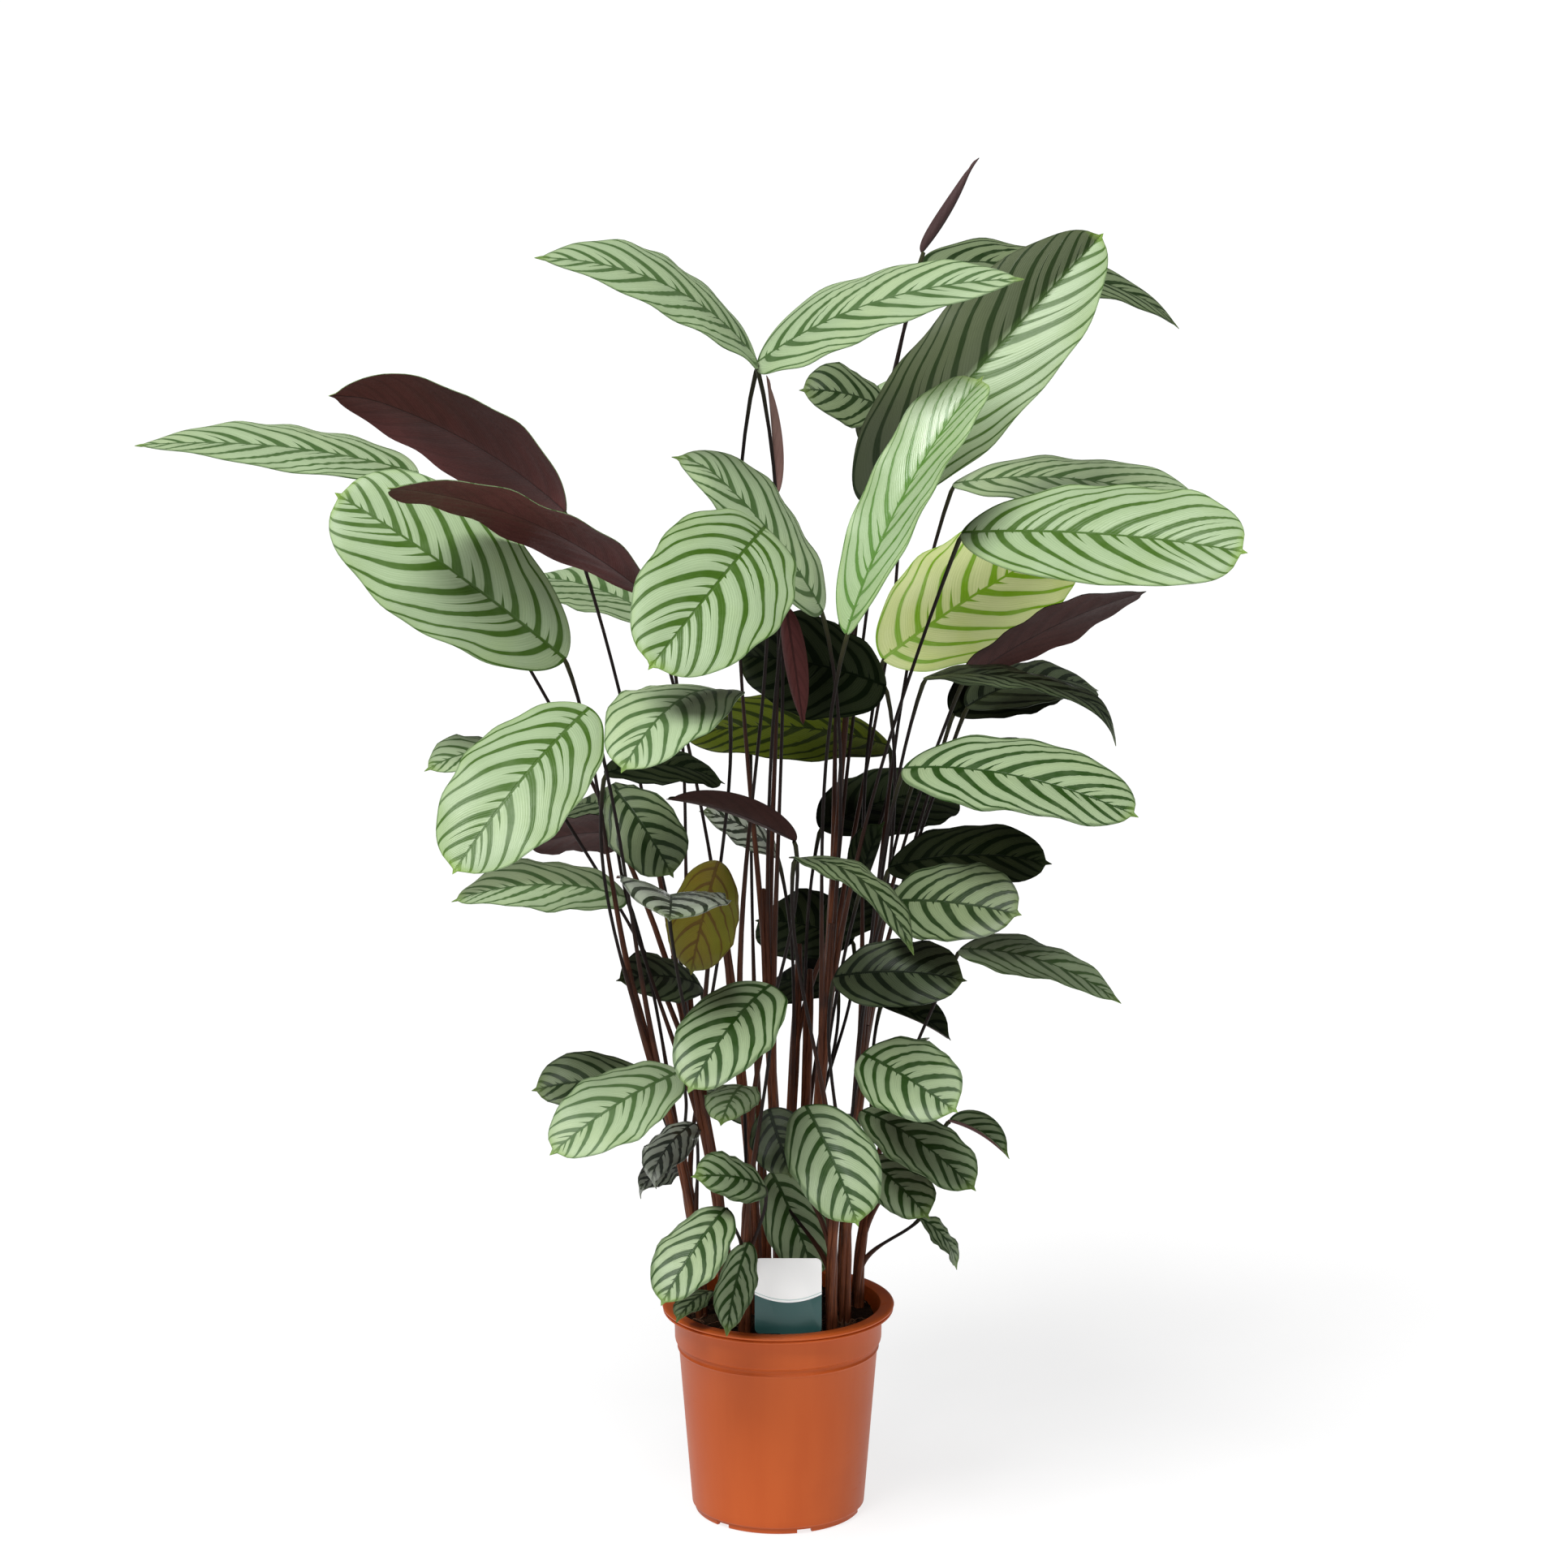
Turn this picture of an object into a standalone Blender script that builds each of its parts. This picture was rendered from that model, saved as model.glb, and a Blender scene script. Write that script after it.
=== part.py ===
"""Potted ctenanthe: a nursery pot of peat, a plant label and seventeen leafy shoots.

Metres, +Z up. The origin is the middle of the pot's floor, where it rests, and
the front of the plant looks along -Y. Run with: blender --background --python part.py
"""

import math
from dataclasses import dataclass

import bmesh
import bpy
import numpy as np
from mathutils import Matrix, Vector

# Driving sizes of the pot
POT_HEIGHT = 0.195
RIM_RADIUS = 0.105
BASE_RADIUS = 0.0783
WALL = 0.0018
LIP_REACH = 0.011
LIP_HEIGHT = 0.0075
COLLAR_DROP = 0.035
COLLAR_STEP = 0.0035
CREASE_DROP = 0.0415
CREASE_HALF = 0.002
CREASE_HEIGHT = 0.0014
FOOT_INSET = 0.0028
FOOT_HEIGHT = 0.006
FOOT_WIDTH = 0.004
CHANNEL_RISE = 0.004
CHANNEL_INNER = 0.046
CHANNEL_SLOPE = 0.003
POT_SIDES = 24

# Drain openings in the floor's raised channel and in the foot ring
DRAIN_COUNT = 6
DRAIN_RADIUS = 0.0050
DRAIN_CIRCLE = 0.060
DRAIN_SIDES = 10
DRAIN_CUT = 0.020
NOTCH_WIDTH = 0.014
NOTCH_HEIGHT = 0.0035
NOTCH_CUT = 0.014
DRAIN_TURN = math.radians(48.5)

# Soil
CLEARANCE = 0.0003
SOIL_DEPTH = 0.012
SOIL_CROWN = 0.004
SOIL_LUMPS = 0.0018
SOIL_RINGS = 3
SOIL_SEED = 7
SOIL_SHOULDER = 0.006
SOIL_EDGE = 0.0015
SOIL_INSET = 0.0009
HOLE_HEADROOM = 0.020

# Plant label
LABEL_WIDTH = 0.0595
LABEL_HEAD = 0.068
LABEL_SPIKE = 0.045
LABEL_SPIKE_WIDTH = 0.014
LABEL_THICK = 0.0008
LABEL_CORNER = 0.005
LABEL_CORNER_STEPS = 3
LABEL_POINT = 0.012
LABEL_CUT = 0.004
LABEL_PLACE = (0.009, -0.079, 0.190)
LABEL_LEAN = math.radians(6)

# Stems and stalks
STEM_RADIUS = 0.0060
STEM_TOP_RADIUS = 0.0045
STALK_FOOT_RADIUS = 0.0026
STALK_TOP_RADIUS = 0.0017
STEM_SIDES = 5
STALK_SIDES = 3
STEM_STEPS = 5
STALK_STEPS = 4
ROOT_DEPTH = 0.030
ROOT_COLLAR = 0.008

# How stems and stalks curve: shares of their reach, and pulls at the knee by the blade
STEM_LIFT = 0.4
STEM_BEND = 0.7
LAST_PARTING = 0.96
STALK_CLIMB = 0.4
STALK_ARRIVAL = 0.3
KNEE_RISE = 0.82
KNEE_REACH = 0.45

# Blades, with rows and columns for each least width
BLADE_THICK = 0.0009
BLADE_DETAIL = ((0.090, 6, 4), (0.060, 5, 4), (0.0, 4, 2))
BLADE_SINK = 0.015
BLADE_DEEPER = 0.8
BASE_ROUNDING = 0.55
TIP_ROUNDING = 0.47
TIP_POINTING = 0.36
BLADE_FOLD = math.radians(12)
BLADE_CAMBER = 0.20
WAVE_HEIGHT = 0.0016
WAVES = 1.5
WAVE_SHIFT = 1.6

FLOOR_TOP = CHANNEL_RISE + WALL
COLLAR_FOOT = POT_HEIGHT - COLLAR_DROP
SOIL_TOP = POT_HEIGHT - SOIL_DEPTH


@dataclass
class Leaf:
    """One blade: base, tip, width, which way its upper side looks, its arch and fold, and its parting.

    Parting is the share of the base's height at which its stalk leaves the stem. Point is 0 for a
    blunt tip and 1 for a long one.
    """

    name: str
    base: tuple
    tip: tuple
    width: float
    faces: tuple
    arch: float = 0.08
    part: float = 0.24
    fold: float = BLADE_FOLD
    point: float = 0.0


@dataclass
class Shoot:
    """A leafy stem: where it leaves the soil, where its sheath ends, and its leaves."""

    name: str
    root: tuple
    top: tuple
    leaves: list


SHOOTS = [
    Shoot("shoot_left_tall", (-0.070, -0.015), (-0.132, -0.045, 0.514), [
        Leaf("broad", (-0.186, -0.020, 0.788), (-0.385, -0.020, 0.935),
             0.130, (0.40, -0.85, 0.30), 0.06, part=0.43),
        Leaf("bright", (-0.160, -0.140, 0.768), (-0.270, -0.260, 0.650),
             0.108, (0.05, -0.70, 0.70), 0.08),
        Leaf("shaded", (-0.150, -0.090, 0.700), (-0.046, -0.065, 0.686),
             0.080, (0.25, -0.15, 0.95), 0.12, part=0.28),
        Leaf("glossy", (-0.074, -0.055, 0.377), (-0.114, -0.095, 0.331),
             0.052, (-0.50, -0.50, 0.70), 0.12, point=0.4),
        Leaf("level", (-0.134, -0.005, 0.570), (-0.287, -0.045, 0.576),
             0.092, (0.15, -0.30, 0.95), 0.10, point=0.3),
    ]),
    Shoot("shoot_left_back", (-0.050, 0.035), (-0.095, 0.075, 0.498), [
        Leaf("far", (-0.321, 0.100, 0.935), (-0.566, 0.040, 0.968),
             0.106, (0.20, -0.25, 0.95), 0.05, point=0.9),
        Leaf("turned", (-0.188, 0.060, 0.906), (-0.401, 0.140, 1.008),
             0.111, (0.50, 0.75, 0.45), 0.08, point=0.5),
        Leaf("tucked", (-0.221, 0.020, 0.694), (-0.311, -0.020, 0.688),
             0.070, (0.05, -0.25, 0.95), 0.12, part=0.28),
        Leaf("inner", (-0.103, 0.160, 0.788), (-0.238, 0.240, 0.818),
             0.106, (0.10, -0.20, 0.95), 0.08, point=0.3),
        Leaf("low", (-0.120, 0.160, 0.605), (-0.200, 0.240, 0.598),
             0.080, (-0.30, -0.15, 0.95), 0.10, point=0.3),
        Leaf("maroon", (-0.120, 0.115, 0.598), (-0.230, 0.115, 0.588),
             0.075, (-0.05, 0.65, 0.75), 0.10, part=0.28),
    ]),
    Shoot("shoot_left_front", (-0.045, -0.040), (-0.075, -0.085, 0.443), [
        Leaf("arched", (-0.042, -0.140, 0.781), (-0.128, -0.300, 0.744),
             0.092, (0.00, -0.20, 1.00), 0.14),
        Leaf("hanging", (-0.144, 0.000, 0.667), (-0.092, -0.030, 0.594),
             0.075, (0.35, -0.75, 0.50), 0.06),
        Leaf("saddle", (-0.094, -0.180, 0.611), (-0.089, -0.298, 0.619),
             0.104, (0.20, 0.05, 1.00), 0.09, fold=math.radians(22)),
        Leaf("fading", (-0.051, -0.120, 0.630), (-0.075, -0.130, 0.531),
             0.067, (-0.40, -0.90, 0.20), 0.04, part=0.38),
    ]),
    Shoot("shoot_middle_left", (-0.019, -0.005), (-0.046, -0.040, 0.544), [
        Leaf("long_turned", (-0.115, 0.000, 0.842), (-0.330, -0.125, 0.954),
             0.100, (0.25, 0.55, 0.80), 0.08, point=0.6),
        Leaf("shield", (-0.011, -0.100, 0.917), (-0.106, -0.280, 0.826),
             0.124, (0.45, -0.55, 0.70), 0.14),
        Leaf("small_turned", (0.015, -0.105, 0.644), (-0.094, -0.190, 0.699),
             0.046, (0.20, 0.60, 0.80), 0.05),
    ]),
    Shoot("shoot_middle", (0.000, 0.015), (-0.013, 0.010, 0.575), [
        Leaf("top_left", (-0.019, 0.000, 1.049), (-0.205, -0.100, 1.146),
             0.112, (0.55, -0.30, 0.80), 0.12, point=0.8),
        Leaf("top_right", (-0.018, 0.015, 1.044), (0.210, -0.060, 1.124),
             0.108, (-0.40, -0.40, 0.80), 0.09, point=0.8),
        Leaf("rolled", (-0.003, 0.012, 0.928), (-0.010, 0.025, 1.032),
             0.022, (0.90, 0.45, 0.05), 0.02, part=0.2, point=0.8),
        Leaf("folded", (0.007, -0.030, 0.836), (0.022, -0.055, 0.737),
             0.026, (0.10, 0.90, 0.30), 0.02, part=0.28, point=0.5),
    ]),
    Shoot("shoot_middle_back", (0.008, 0.055), (0.019, 0.115, 0.499), [
        Leaf("backlit", (0.104, 0.200, 0.666), (-0.091, 0.160, 0.684),
             0.105, (0.15, -0.35, 0.90), 0.08, part=0.38),
        Leaf("curled", (-0.001, 0.075, 0.592), (-0.071, 0.055, 0.636),
             0.060, (0.65, -0.30, 0.70), 0.10),
    ]),
    Shoot("shoot_tall_right", (0.032, 0.040), (0.051, 0.115, 0.579), [
        Leaf("spear", (0.128, 0.120, 1.130), (0.176, 0.160, 1.212),
             0.024, (-0.80, 0.45, 0.40), -0.05, point=1),
        Leaf("over_back", (0.132, 0.240, 1.108), (0.378, 0.300, 1.049),
             0.098, (0.25, -0.30, 0.90), 0.09, part=0.28, point=0.7),
        Leaf("high", (0.104, 0.255, 0.970), (0.019, 0.230, 0.994),
             0.085, (0.55, -0.45, 0.75), 0.10, part=0.2),
        Leaf("rear", (0.100, 0.230, 0.923), (0.166, 0.400, 0.988),
             0.098, (0.10, 0.10, 1.00), 0.12, point=0.4),
        Leaf("largest", (0.074, 0.100, 0.910), (0.292, 0.160, 1.144),
             0.126, (0.00, -0.95, 0.25), 0.08, part=0.43, point=0.2),
    ]),
    Shoot("shoot_right_tall", (0.030, -0.012), (0.047, -0.035, 0.554), [
        Leaf("behind_shield", (0.039, -0.025, 0.831), (-0.083, -0.050, 0.980),
             0.105, (0.70, -0.45, 0.55), 0.06, point=0.3),
        Leaf("upright", (0.059, -0.100, 0.824), (0.177, -0.040, 1.039),
             0.088, (-0.60, -0.62, 0.50), 0.07),
        Leaf("reaching", (0.159, -0.040, 0.903), (0.397, -0.140, 0.901),
             0.124, (-0.25, -0.55, 0.80), 0.04),
        Leaf("small_upright", (0.074, 0.000, 0.580), (0.094, -0.020, 0.643),
             0.042, (-0.80, -0.60, 0.05), 0.06),
    ]),
    Shoot("shoot_right_back", (0.060, 0.040), (0.084, 0.085, 0.479), [
        Leaf("high", (0.163, 0.275, 0.901), (0.388, 0.200, 0.890),
             0.100, (0.00, -0.32, 0.95), 0.07),
        Leaf("backlit", (0.095, 0.140, 0.759), (0.270, 0.230, 0.853),
             0.128, (-0.05, -0.78, 0.60), 0.06),
        Leaf("turned", (0.164, 0.040, 0.757), (0.323, 0.000, 0.845),
             0.076, (-0.30, 0.60, 0.75), 0.05, part=0.38, point=0.3),
        Leaf("inward", (0.097, 0.076, 0.746), (-0.039, 0.056, 0.777),
             0.116, (0.55, -0.60, 0.60), 0.08, part=0.2),
        Leaf("dark", (0.159, 0.140, 0.708), (0.264, 0.240, 0.717),
             0.085, (0.25, -0.30, 0.95), 0.10),
        Leaf("striped", (0.169, 0.080, 0.726), (0.292, 0.140, 0.730),
             0.085, (0.10, -0.25, 0.95), 0.14, part=0.28),
        Leaf("tucked", (0.124, 0.165, 0.640), (0.264, 0.225, 0.652),
             0.085, (0.00, -0.15, 1.00), 0.10),
    ]),
    Shoot("shoot_right", (0.058, 0.000), (0.079, -0.015, 0.456), [
        Leaf("thin", (0.129, 0.000, 0.768), (0.305, -0.060, 0.737),
             0.070, (0.15, -0.10, 1.00), 0.10, point=0.8),
        Leaf("broad", (0.109, -0.070, 0.701), (0.306, -0.170, 0.679),
             0.106, (-0.15, -0.45, 0.90), 0.08),
        Leaf("dark", (0.099, 0.050, 0.585), (0.245, 0.030, 0.593),
             0.095, (-0.15, -0.40, 0.90), 0.08),
        Leaf("level", (0.094, -0.070, 0.582), (0.209, -0.150, 0.589),
             0.088, (-0.45, -0.50, 0.75), 0.06),
    ]),
    Shoot("shoot_right_front", (0.060, -0.035), (0.061, -0.050, 0.326), [
        Leaf("high", (0.049, -0.085, 0.518), (0.164, -0.115, 0.522),
             0.082, (-0.10, -0.55, 0.80), 0.08),
        Leaf("round", (0.074, -0.100, 0.453), (0.154, -0.190, 0.425),
             0.078, (-0.35, -0.55, 0.75), 0.06),
        Leaf("side", (0.079, -0.030, 0.337), (0.134, -0.080, 0.296),
             0.058, (0.00, -0.60, 0.80), 0.08),
        Leaf("drooping", (0.074, -0.060, 0.390), (0.173, -0.120, 0.334),
             0.070, (0.15, -0.50, 0.85), 0.08),
    ]),
    Shoot("shoot_front", (0.047, -0.056), (0.051, -0.100, 0.335), [
        Leaf("bright", (0.024, -0.125, 0.413), (0.069, -0.205, 0.328),
             0.080, (0.08, -0.70, 0.70), 0.08),
        Leaf("shaded", (-0.008, -0.075, 0.396), (0.012, -0.105, 0.341),
             0.054, (-0.15, -0.70, 0.70), 0.08),
        Leaf("hanging", (-0.006, -0.020, 0.322), (0.034, -0.050, 0.228),
             0.062, (0.40, -0.85, 0.40), 0.06),
        Leaf("narrow", (0.014, -0.150, 0.639), (0.114, -0.240, 0.576),
             0.066, (0.40, -0.15, 0.90), 0.16, point=0.8),
    ]),
    Shoot("shoot_front_left", (-0.030, -0.062), (-0.027, -0.105, 0.325), [
        Leaf("high", (-0.006, -0.160, 0.530), (-0.075, -0.280, 0.467),
             0.080, (0.05, -0.50, 0.85), 0.10),
        Leaf("under", (-0.031, -0.050, 0.410), (-0.050, -0.120, 0.393),
             0.048, (0.00, -0.20, 1.00), 0.10),
        Leaf("sideways", (-0.011, -0.125, 0.339), (-0.075, -0.170, 0.362),
             0.052, (0.60, -0.40, 0.70), 0.10),
        Leaf("low", (-0.045, -0.150, 0.328), (-0.100, -0.220, 0.262),
             0.062, (-0.15, -0.60, 0.80), 0.06, part=0.28),
        Leaf("over_rim", (-0.026, -0.100, 0.281), (-0.045, -0.135, 0.206),
             0.040, (-0.45, -0.75, 0.45), 0.06, point=0.3),
        Leaf("at_rim", (-0.060, -0.060, 0.223), (-0.090, -0.100, 0.207),
             0.030, (-0.20, -0.20, 0.95), 0.10),
    ]),
    Shoot("shoot_left_low", (-0.072, 0.014), (-0.085, 0.010, 0.319), [
        Leaf("high", (-0.070, 0.046, 0.477), (-0.145, 0.008, 0.491),
             0.066, (0.40, -0.35, 0.85), 0.10),
        Leaf("near", (-0.085, -0.120, 0.442), (-0.195, -0.200, 0.390),
             0.076, (0.05, -0.60, 0.80), 0.08, part=0.38),
        Leaf("behind", (-0.115, 0.000, 0.398), (-0.220, -0.020, 0.397),
             0.070, (0.10, -0.55, 0.85), 0.08),
        Leaf("curled", (-0.085, 0.050, 0.305), (-0.130, 0.030, 0.285),
             0.040, (-0.25, -0.30, 0.90), 0.15, point=0.4),
    ]),
    Shoot("shoot_back", (0.023, 0.070), (0.029, 0.100, 0.479), [
        Leaf("deep", (0.039, 0.220, 0.584), (0.169, 0.320, 0.597),
             0.098, (0.20, -0.40, 0.90), 0.08),
        Leaf("right", (0.054, 0.150, 0.493), (0.121, 0.270, 0.516),
             0.080, (-0.20, -0.50, 0.85), 0.12),
        Leaf("inner", (0.070, 0.195, 0.482), (-0.022, 0.235, 0.492),
             0.092, (0.10, -0.60, 0.80), 0.08),
        Leaf("under", (0.055, 0.150, 0.447), (-0.010, 0.200, 0.440),
             0.078, (0.10, -0.50, 0.85), 0.08),
    ]),
    Shoot("shoot_back_low", (-0.011, 0.073), (-0.016, 0.100, 0.302), [
        Leaf("left", (-0.026, 0.220, 0.668), (-0.019, 0.400, 0.655),
             0.092, (0.20, 0.20, 0.95), 0.12, point=0.5),
        Leaf("middle", (0.025, 0.120, 0.313), (0.038, 0.270, 0.278),
             0.078, (0.00, 0.10, 1.00), 0.10),
        Leaf("low", (-0.031, 0.100, 0.331), (-0.080, 0.220, 0.335),
             0.070, (0.15, 0.20, 0.95), 0.10),
    ]),
    Shoot("shoot_right_low", (0.072, 0.014), (0.089, 0.045, 0.320), [
        Leaf("long", (0.164, 0.060, 0.507), (0.308, 0.020, 0.467),
             0.078, (0.20, -0.25, 0.95), 0.10, point=0.7),
        Leaf("inner", (0.094, 0.100, 0.445), (0.159, 0.120, 0.406),
             0.050, (0.60, -0.30, 0.75), 0.10),
        Leaf("back", (0.089, 0.120, 0.362), (0.129, 0.230, 0.375),
             0.066, (-0.20, 0.20, 0.95), 0.10),
        Leaf("narrow", (0.154, 0.020, 0.358), (0.208, 0.000, 0.328),
             0.042, (0.40, -0.25, 0.90), 0.12, point=0.5),
        Leaf("drooping", (0.129, 0.040, 0.260), (0.163, 0.040, 0.211),
             0.034, (0.75, -0.35, 0.55), 0.15),
    ]),
]


def unit(vector):
    """The vector, or each row of vectors, at length one."""
    vector = np.asarray(vector, float)
    return vector / np.linalg.norm(vector, axis=-1, keepdims=True)


def outline(along, point):
    """Half width of a blade as a share of its widest, from base (0) to tip (1)."""
    rounding = TIP_ROUNDING + TIP_POINTING * point
    total = BASE_ROUNDING + rounding
    widest = (BASE_ROUNDING / total) ** BASE_ROUNDING * (rounding / total) ** rounding
    return along ** BASE_ROUNDING * (1 - along) ** rounding / widest


def midrib(leaf, along):
    """Points of the midrib, with the blade's sideways and upward directions there."""
    base, tip = np.array(leaf.base), np.array(leaf.tip)
    chord = tip - base
    length = np.linalg.norm(chord)
    heading = chord / length
    up = np.array(leaf.faces)
    up = unit(up - (up @ heading) * heading)
    rise = 4 * along * (1 - along) * leaf.arch * length
    slope = 4 * (1 - 2 * along) * leaf.arch * length
    points = base + np.outer(along, chord) + np.outer(rise, up)
    tangents = unit(chord + np.outer(slope, up))
    sideways = unit(np.cross(tangents, up))
    return points, tangents, sideways, np.cross(sideways, tangents)


def blade_points(leaf, along, across):
    """A grid of points on the middle of a blade, and the normals there."""
    points, _, sideways, upward = midrib(leaf, along)
    half = leaf.width / 2 * outline(along, leaf.point)
    reach = half[:, None] * across * math.cos(leaf.fold)
    lift = half[:, None] * (np.abs(across) * math.sin(leaf.fold) - BLADE_CAMBER * across ** 2)
    phase = 2 * math.pi * WAVES * along[:, None] + WAVE_SHIFT * (across > 0)
    lift = lift + WAVE_HEIGHT * (half / half.max())[:, None] * across ** 2 * np.sin(phase)
    grid = points[:, None] + sideways[:, None] * reach[..., None] + upward[:, None] * lift[..., None]
    return grid, upward


def start_clean():
    """Removes what a new file holds."""
    for thing in list(bpy.data.objects):
        bpy.data.objects.remove(thing)


def finish(name, colour, roughness):
    """A plain material in the piece's own colour."""
    material = bpy.data.materials.new(name)
    material.use_nodes = True
    shader = material.node_tree.nodes["Principled BSDF"]
    shader.inputs["Base Color"].default_value = (*colour, 1)
    shader.inputs["Roughness"].default_value = roughness
    return material


def add_object(name, vertices, faces, material=None):
    """A mesh object from points and faces."""
    mesh = bpy.data.meshes.new(name)
    mesh.from_pydata([tuple(point) for point in vertices], [], faces)
    mesh.validate()
    mesh.update()
    thing = bpy.data.objects.new(name, mesh)
    bpy.context.collection.objects.link(thing)
    if material:
        mesh.materials.append(material)
    return thing


def apply_boolean(thing, operation, others, solver):
    """Joins others to the thing, or cuts them out of it, and removes them."""
    tools = bpy.data.collections.new("tools")
    for other in others:
        tools.objects.link(other)
    modifier = thing.modifiers.new("combine", "BOOLEAN")
    modifier.operation = operation
    modifier.operand_type = "COLLECTION"
    modifier.collection = tools
    modifier.solver = solver
    bpy.context.view_layer.objects.active = thing
    bpy.ops.object.modifier_apply(modifier=modifier.name)
    for other in others:
        bpy.data.objects.remove(other)
    bpy.data.collections.remove(tools)


def turned(name, profile, sides, material=None):
    """A closed turned piece from an outline of (radius, height), run from axis to axis."""
    vertices = []
    rings = []
    for radius, height in profile:
        if radius == 0:
            rings.append([len(vertices)])
            vertices.append((0, 0, height))
            continue
        rings.append(list(range(len(vertices), len(vertices) + sides)))
        for side in range(sides):
            turn = 2 * math.pi * side / sides
            vertices.append((radius * math.cos(turn), radius * math.sin(turn), height))
    faces = []
    for low, high in zip(rings, rings[1:]):
        for side in range(sides):
            after = (side + 1) % sides
            if len(low) == 1:
                faces.append((low[0], high[after], high[side]))
            elif len(high) == 1:
                faces.append((low[side], low[after], high[0]))
            else:
                faces.append((low[side], low[after], high[after], high[side]))
    return add_object(name, vertices, faces, material)


def wall_radius(height):
    """Outer radius of the tapered wall at a height, up to the collar."""
    top = RIM_RADIUS - LIP_REACH - COLLAR_STEP
    return BASE_RADIUS + (top - BASE_RADIUS) * (height - FOOT_HEIGHT) / (COLLAR_FOOT - FOOT_HEIGHT)


def inner_radius(height):
    """Inner radius of the pot at a height, above the floor."""
    return wall_radius(height) - WALL


def pot_outline():
    """The pot's wall in section, from the middle of its underside round to the floor's top."""
    foot = BASE_RADIUS - FOOT_INSET
    channel = foot - FOOT_WIDTH
    collar = RIM_RADIUS - LIP_REACH
    inside = collar - WALL
    crease = POT_HEIGHT - CREASE_DROP
    crease_wall = wall_radius(crease)
    lip_low = POT_HEIGHT - LIP_HEIGHT
    corner = FOOT_HEIGHT + CHANNEL_RISE
    underside = [
        (0, 0), (CHANNEL_INNER, 0), (CHANNEL_INNER + CHANNEL_SLOPE, CHANNEL_RISE),
        (channel - CHANNEL_SLOPE / 2, CHANNEL_RISE), (channel, 0), (foot, 0),
        (foot, FOOT_HEIGHT - 0.001), (BASE_RADIUS, FOOT_HEIGHT),
    ]
    outside = [
        (crease_wall, crease - CREASE_HALF), (crease_wall + CREASE_HEIGHT, crease),
        (crease_wall, crease + CREASE_HALF), (wall_radius(COLLAR_FOOT), COLLAR_FOOT - 0.001),
        (collar - 0.0012, COLLAR_FOOT), (collar, lip_low),
    ]
    lip = [
        (RIM_RADIUS - 0.0015, lip_low), (RIM_RADIUS, lip_low + 0.002), (RIM_RADIUS, POT_HEIGHT - 0.003),
        (RIM_RADIUS - 0.002, POT_HEIGHT - 0.0006), (RIM_RADIUS - 0.005, POT_HEIGHT),
        (inside + 0.002, POT_HEIGHT - 0.0006), (inside, POT_HEIGHT - 0.0025),
    ]
    cavity = [
        (inside - 0.0006, COLLAR_FOOT + 0.003), (inner_radius(COLLAR_FOOT), COLLAR_FOOT - 0.001),
        (inner_radius(corner), corner), (BASE_RADIUS - 0.006, FLOOR_TOP), (0, FLOOR_TOP),
    ]
    return underside + outside + lip + cavity


def build_pot():
    """The nursery pot: turned wall, rolled lip, crease, foot ring, drain holes and notches."""
    plastic = finish("terracotta_plastic", (0.58, 0.115, 0.035), 0.42)
    pot = turned("pot", pot_outline(), POT_SIDES, plastic)
    cutters = []
    for index in range(DRAIN_COUNT):
        turn = DRAIN_TURN + 2 * math.pi * index / DRAIN_COUNT
        direction = Vector((math.cos(turn), math.sin(turn), 0))
        bpy.ops.mesh.primitive_cylinder_add(
            vertices=DRAIN_SIDES, radius=DRAIN_RADIUS, depth=DRAIN_CUT,
            location=direction * DRAIN_CIRCLE)
        cutters.append(bpy.context.object)
        bpy.ops.mesh.primitive_cube_add(
            size=1, location=direction * (BASE_RADIUS - FOOT_INSET), rotation=(0, 0, turn),
            scale=(NOTCH_CUT, NOTCH_WIDTH, 2 * NOTCH_HEIGHT))
        bpy.ops.object.transform_apply(location=False, rotation=True, scale=True)
        cutters.append(bpy.context.object)
    apply_boolean(pot, "DIFFERENCE", cutters, "EXACT")
    pot.data.shade_smooth()
    pot.data.set_sharp_from_angle(angle=math.radians(35))
    return pot


def stem_hole(shoot):
    """A plain round hole for a stem: its sides a little clear of the stem's own."""
    low = SOIL_TOP - ROOT_DEPTH - CLEARANCE
    high = SOIL_TOP + HOLE_HEADROOM
    radius = STEM_RADIUS + CLEARANCE / math.cos(math.pi / STEM_SIDES)
    hole = turned("hole", [(0, low), (radius, low), (radius, high), (0, high)], STEM_SIDES)
    hole.location = (*shoot.root, 0)
    return hole


def build_soil():
    """Peat that fills the pot to a lumpy crown, with a hole for each stem and a slot for the label."""
    random = np.random.default_rng(SOIL_SEED)
    floor = FLOOR_TOP + CLEARANCE
    corner = FOOT_HEIGHT + CHANNEL_RISE + 0.001
    shoulder = SOIL_TOP - SOIL_SHOULDER
    profile = [(0, floor), (BASE_RADIUS - 0.0075, floor), (inner_radius(corner) - 0.0012, corner),
               (inner_radius(shoulder) - SOIL_INSET, shoulder)]
    flank = len(profile)
    for ring in range(SOIL_RINGS):
        share = ring / SOIL_RINGS
        radius = (inner_radius(COLLAR_FOOT) - SOIL_EDGE) * (1 - share) - SOIL_EDGE
        profile.append((radius, SOIL_TOP - SOIL_LUMPS + SOIL_CROWN * share))
    profile.append((0, SOIL_TOP - SOIL_LUMPS + SOIL_CROWN))
    soil = turned("soil", profile, POT_SIDES, finish("peat", (0.016, 0.010, 0.007), 0.95))
    first_top = 1 + POT_SIDES * (flank - 1)
    for vertex in soil.data.vertices[first_top:]:
        vertex.co.z += SOIL_LUMPS * random.uniform(-1, 1)
    holes = [stem_hole(shoot) for shoot in SHOOTS] + [label_solid("slot", CLEARANCE)]
    bpy.context.view_layer.update()
    apply_boolean(soil, "DIFFERENCE", holes, "EXACT")
    return soil


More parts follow.
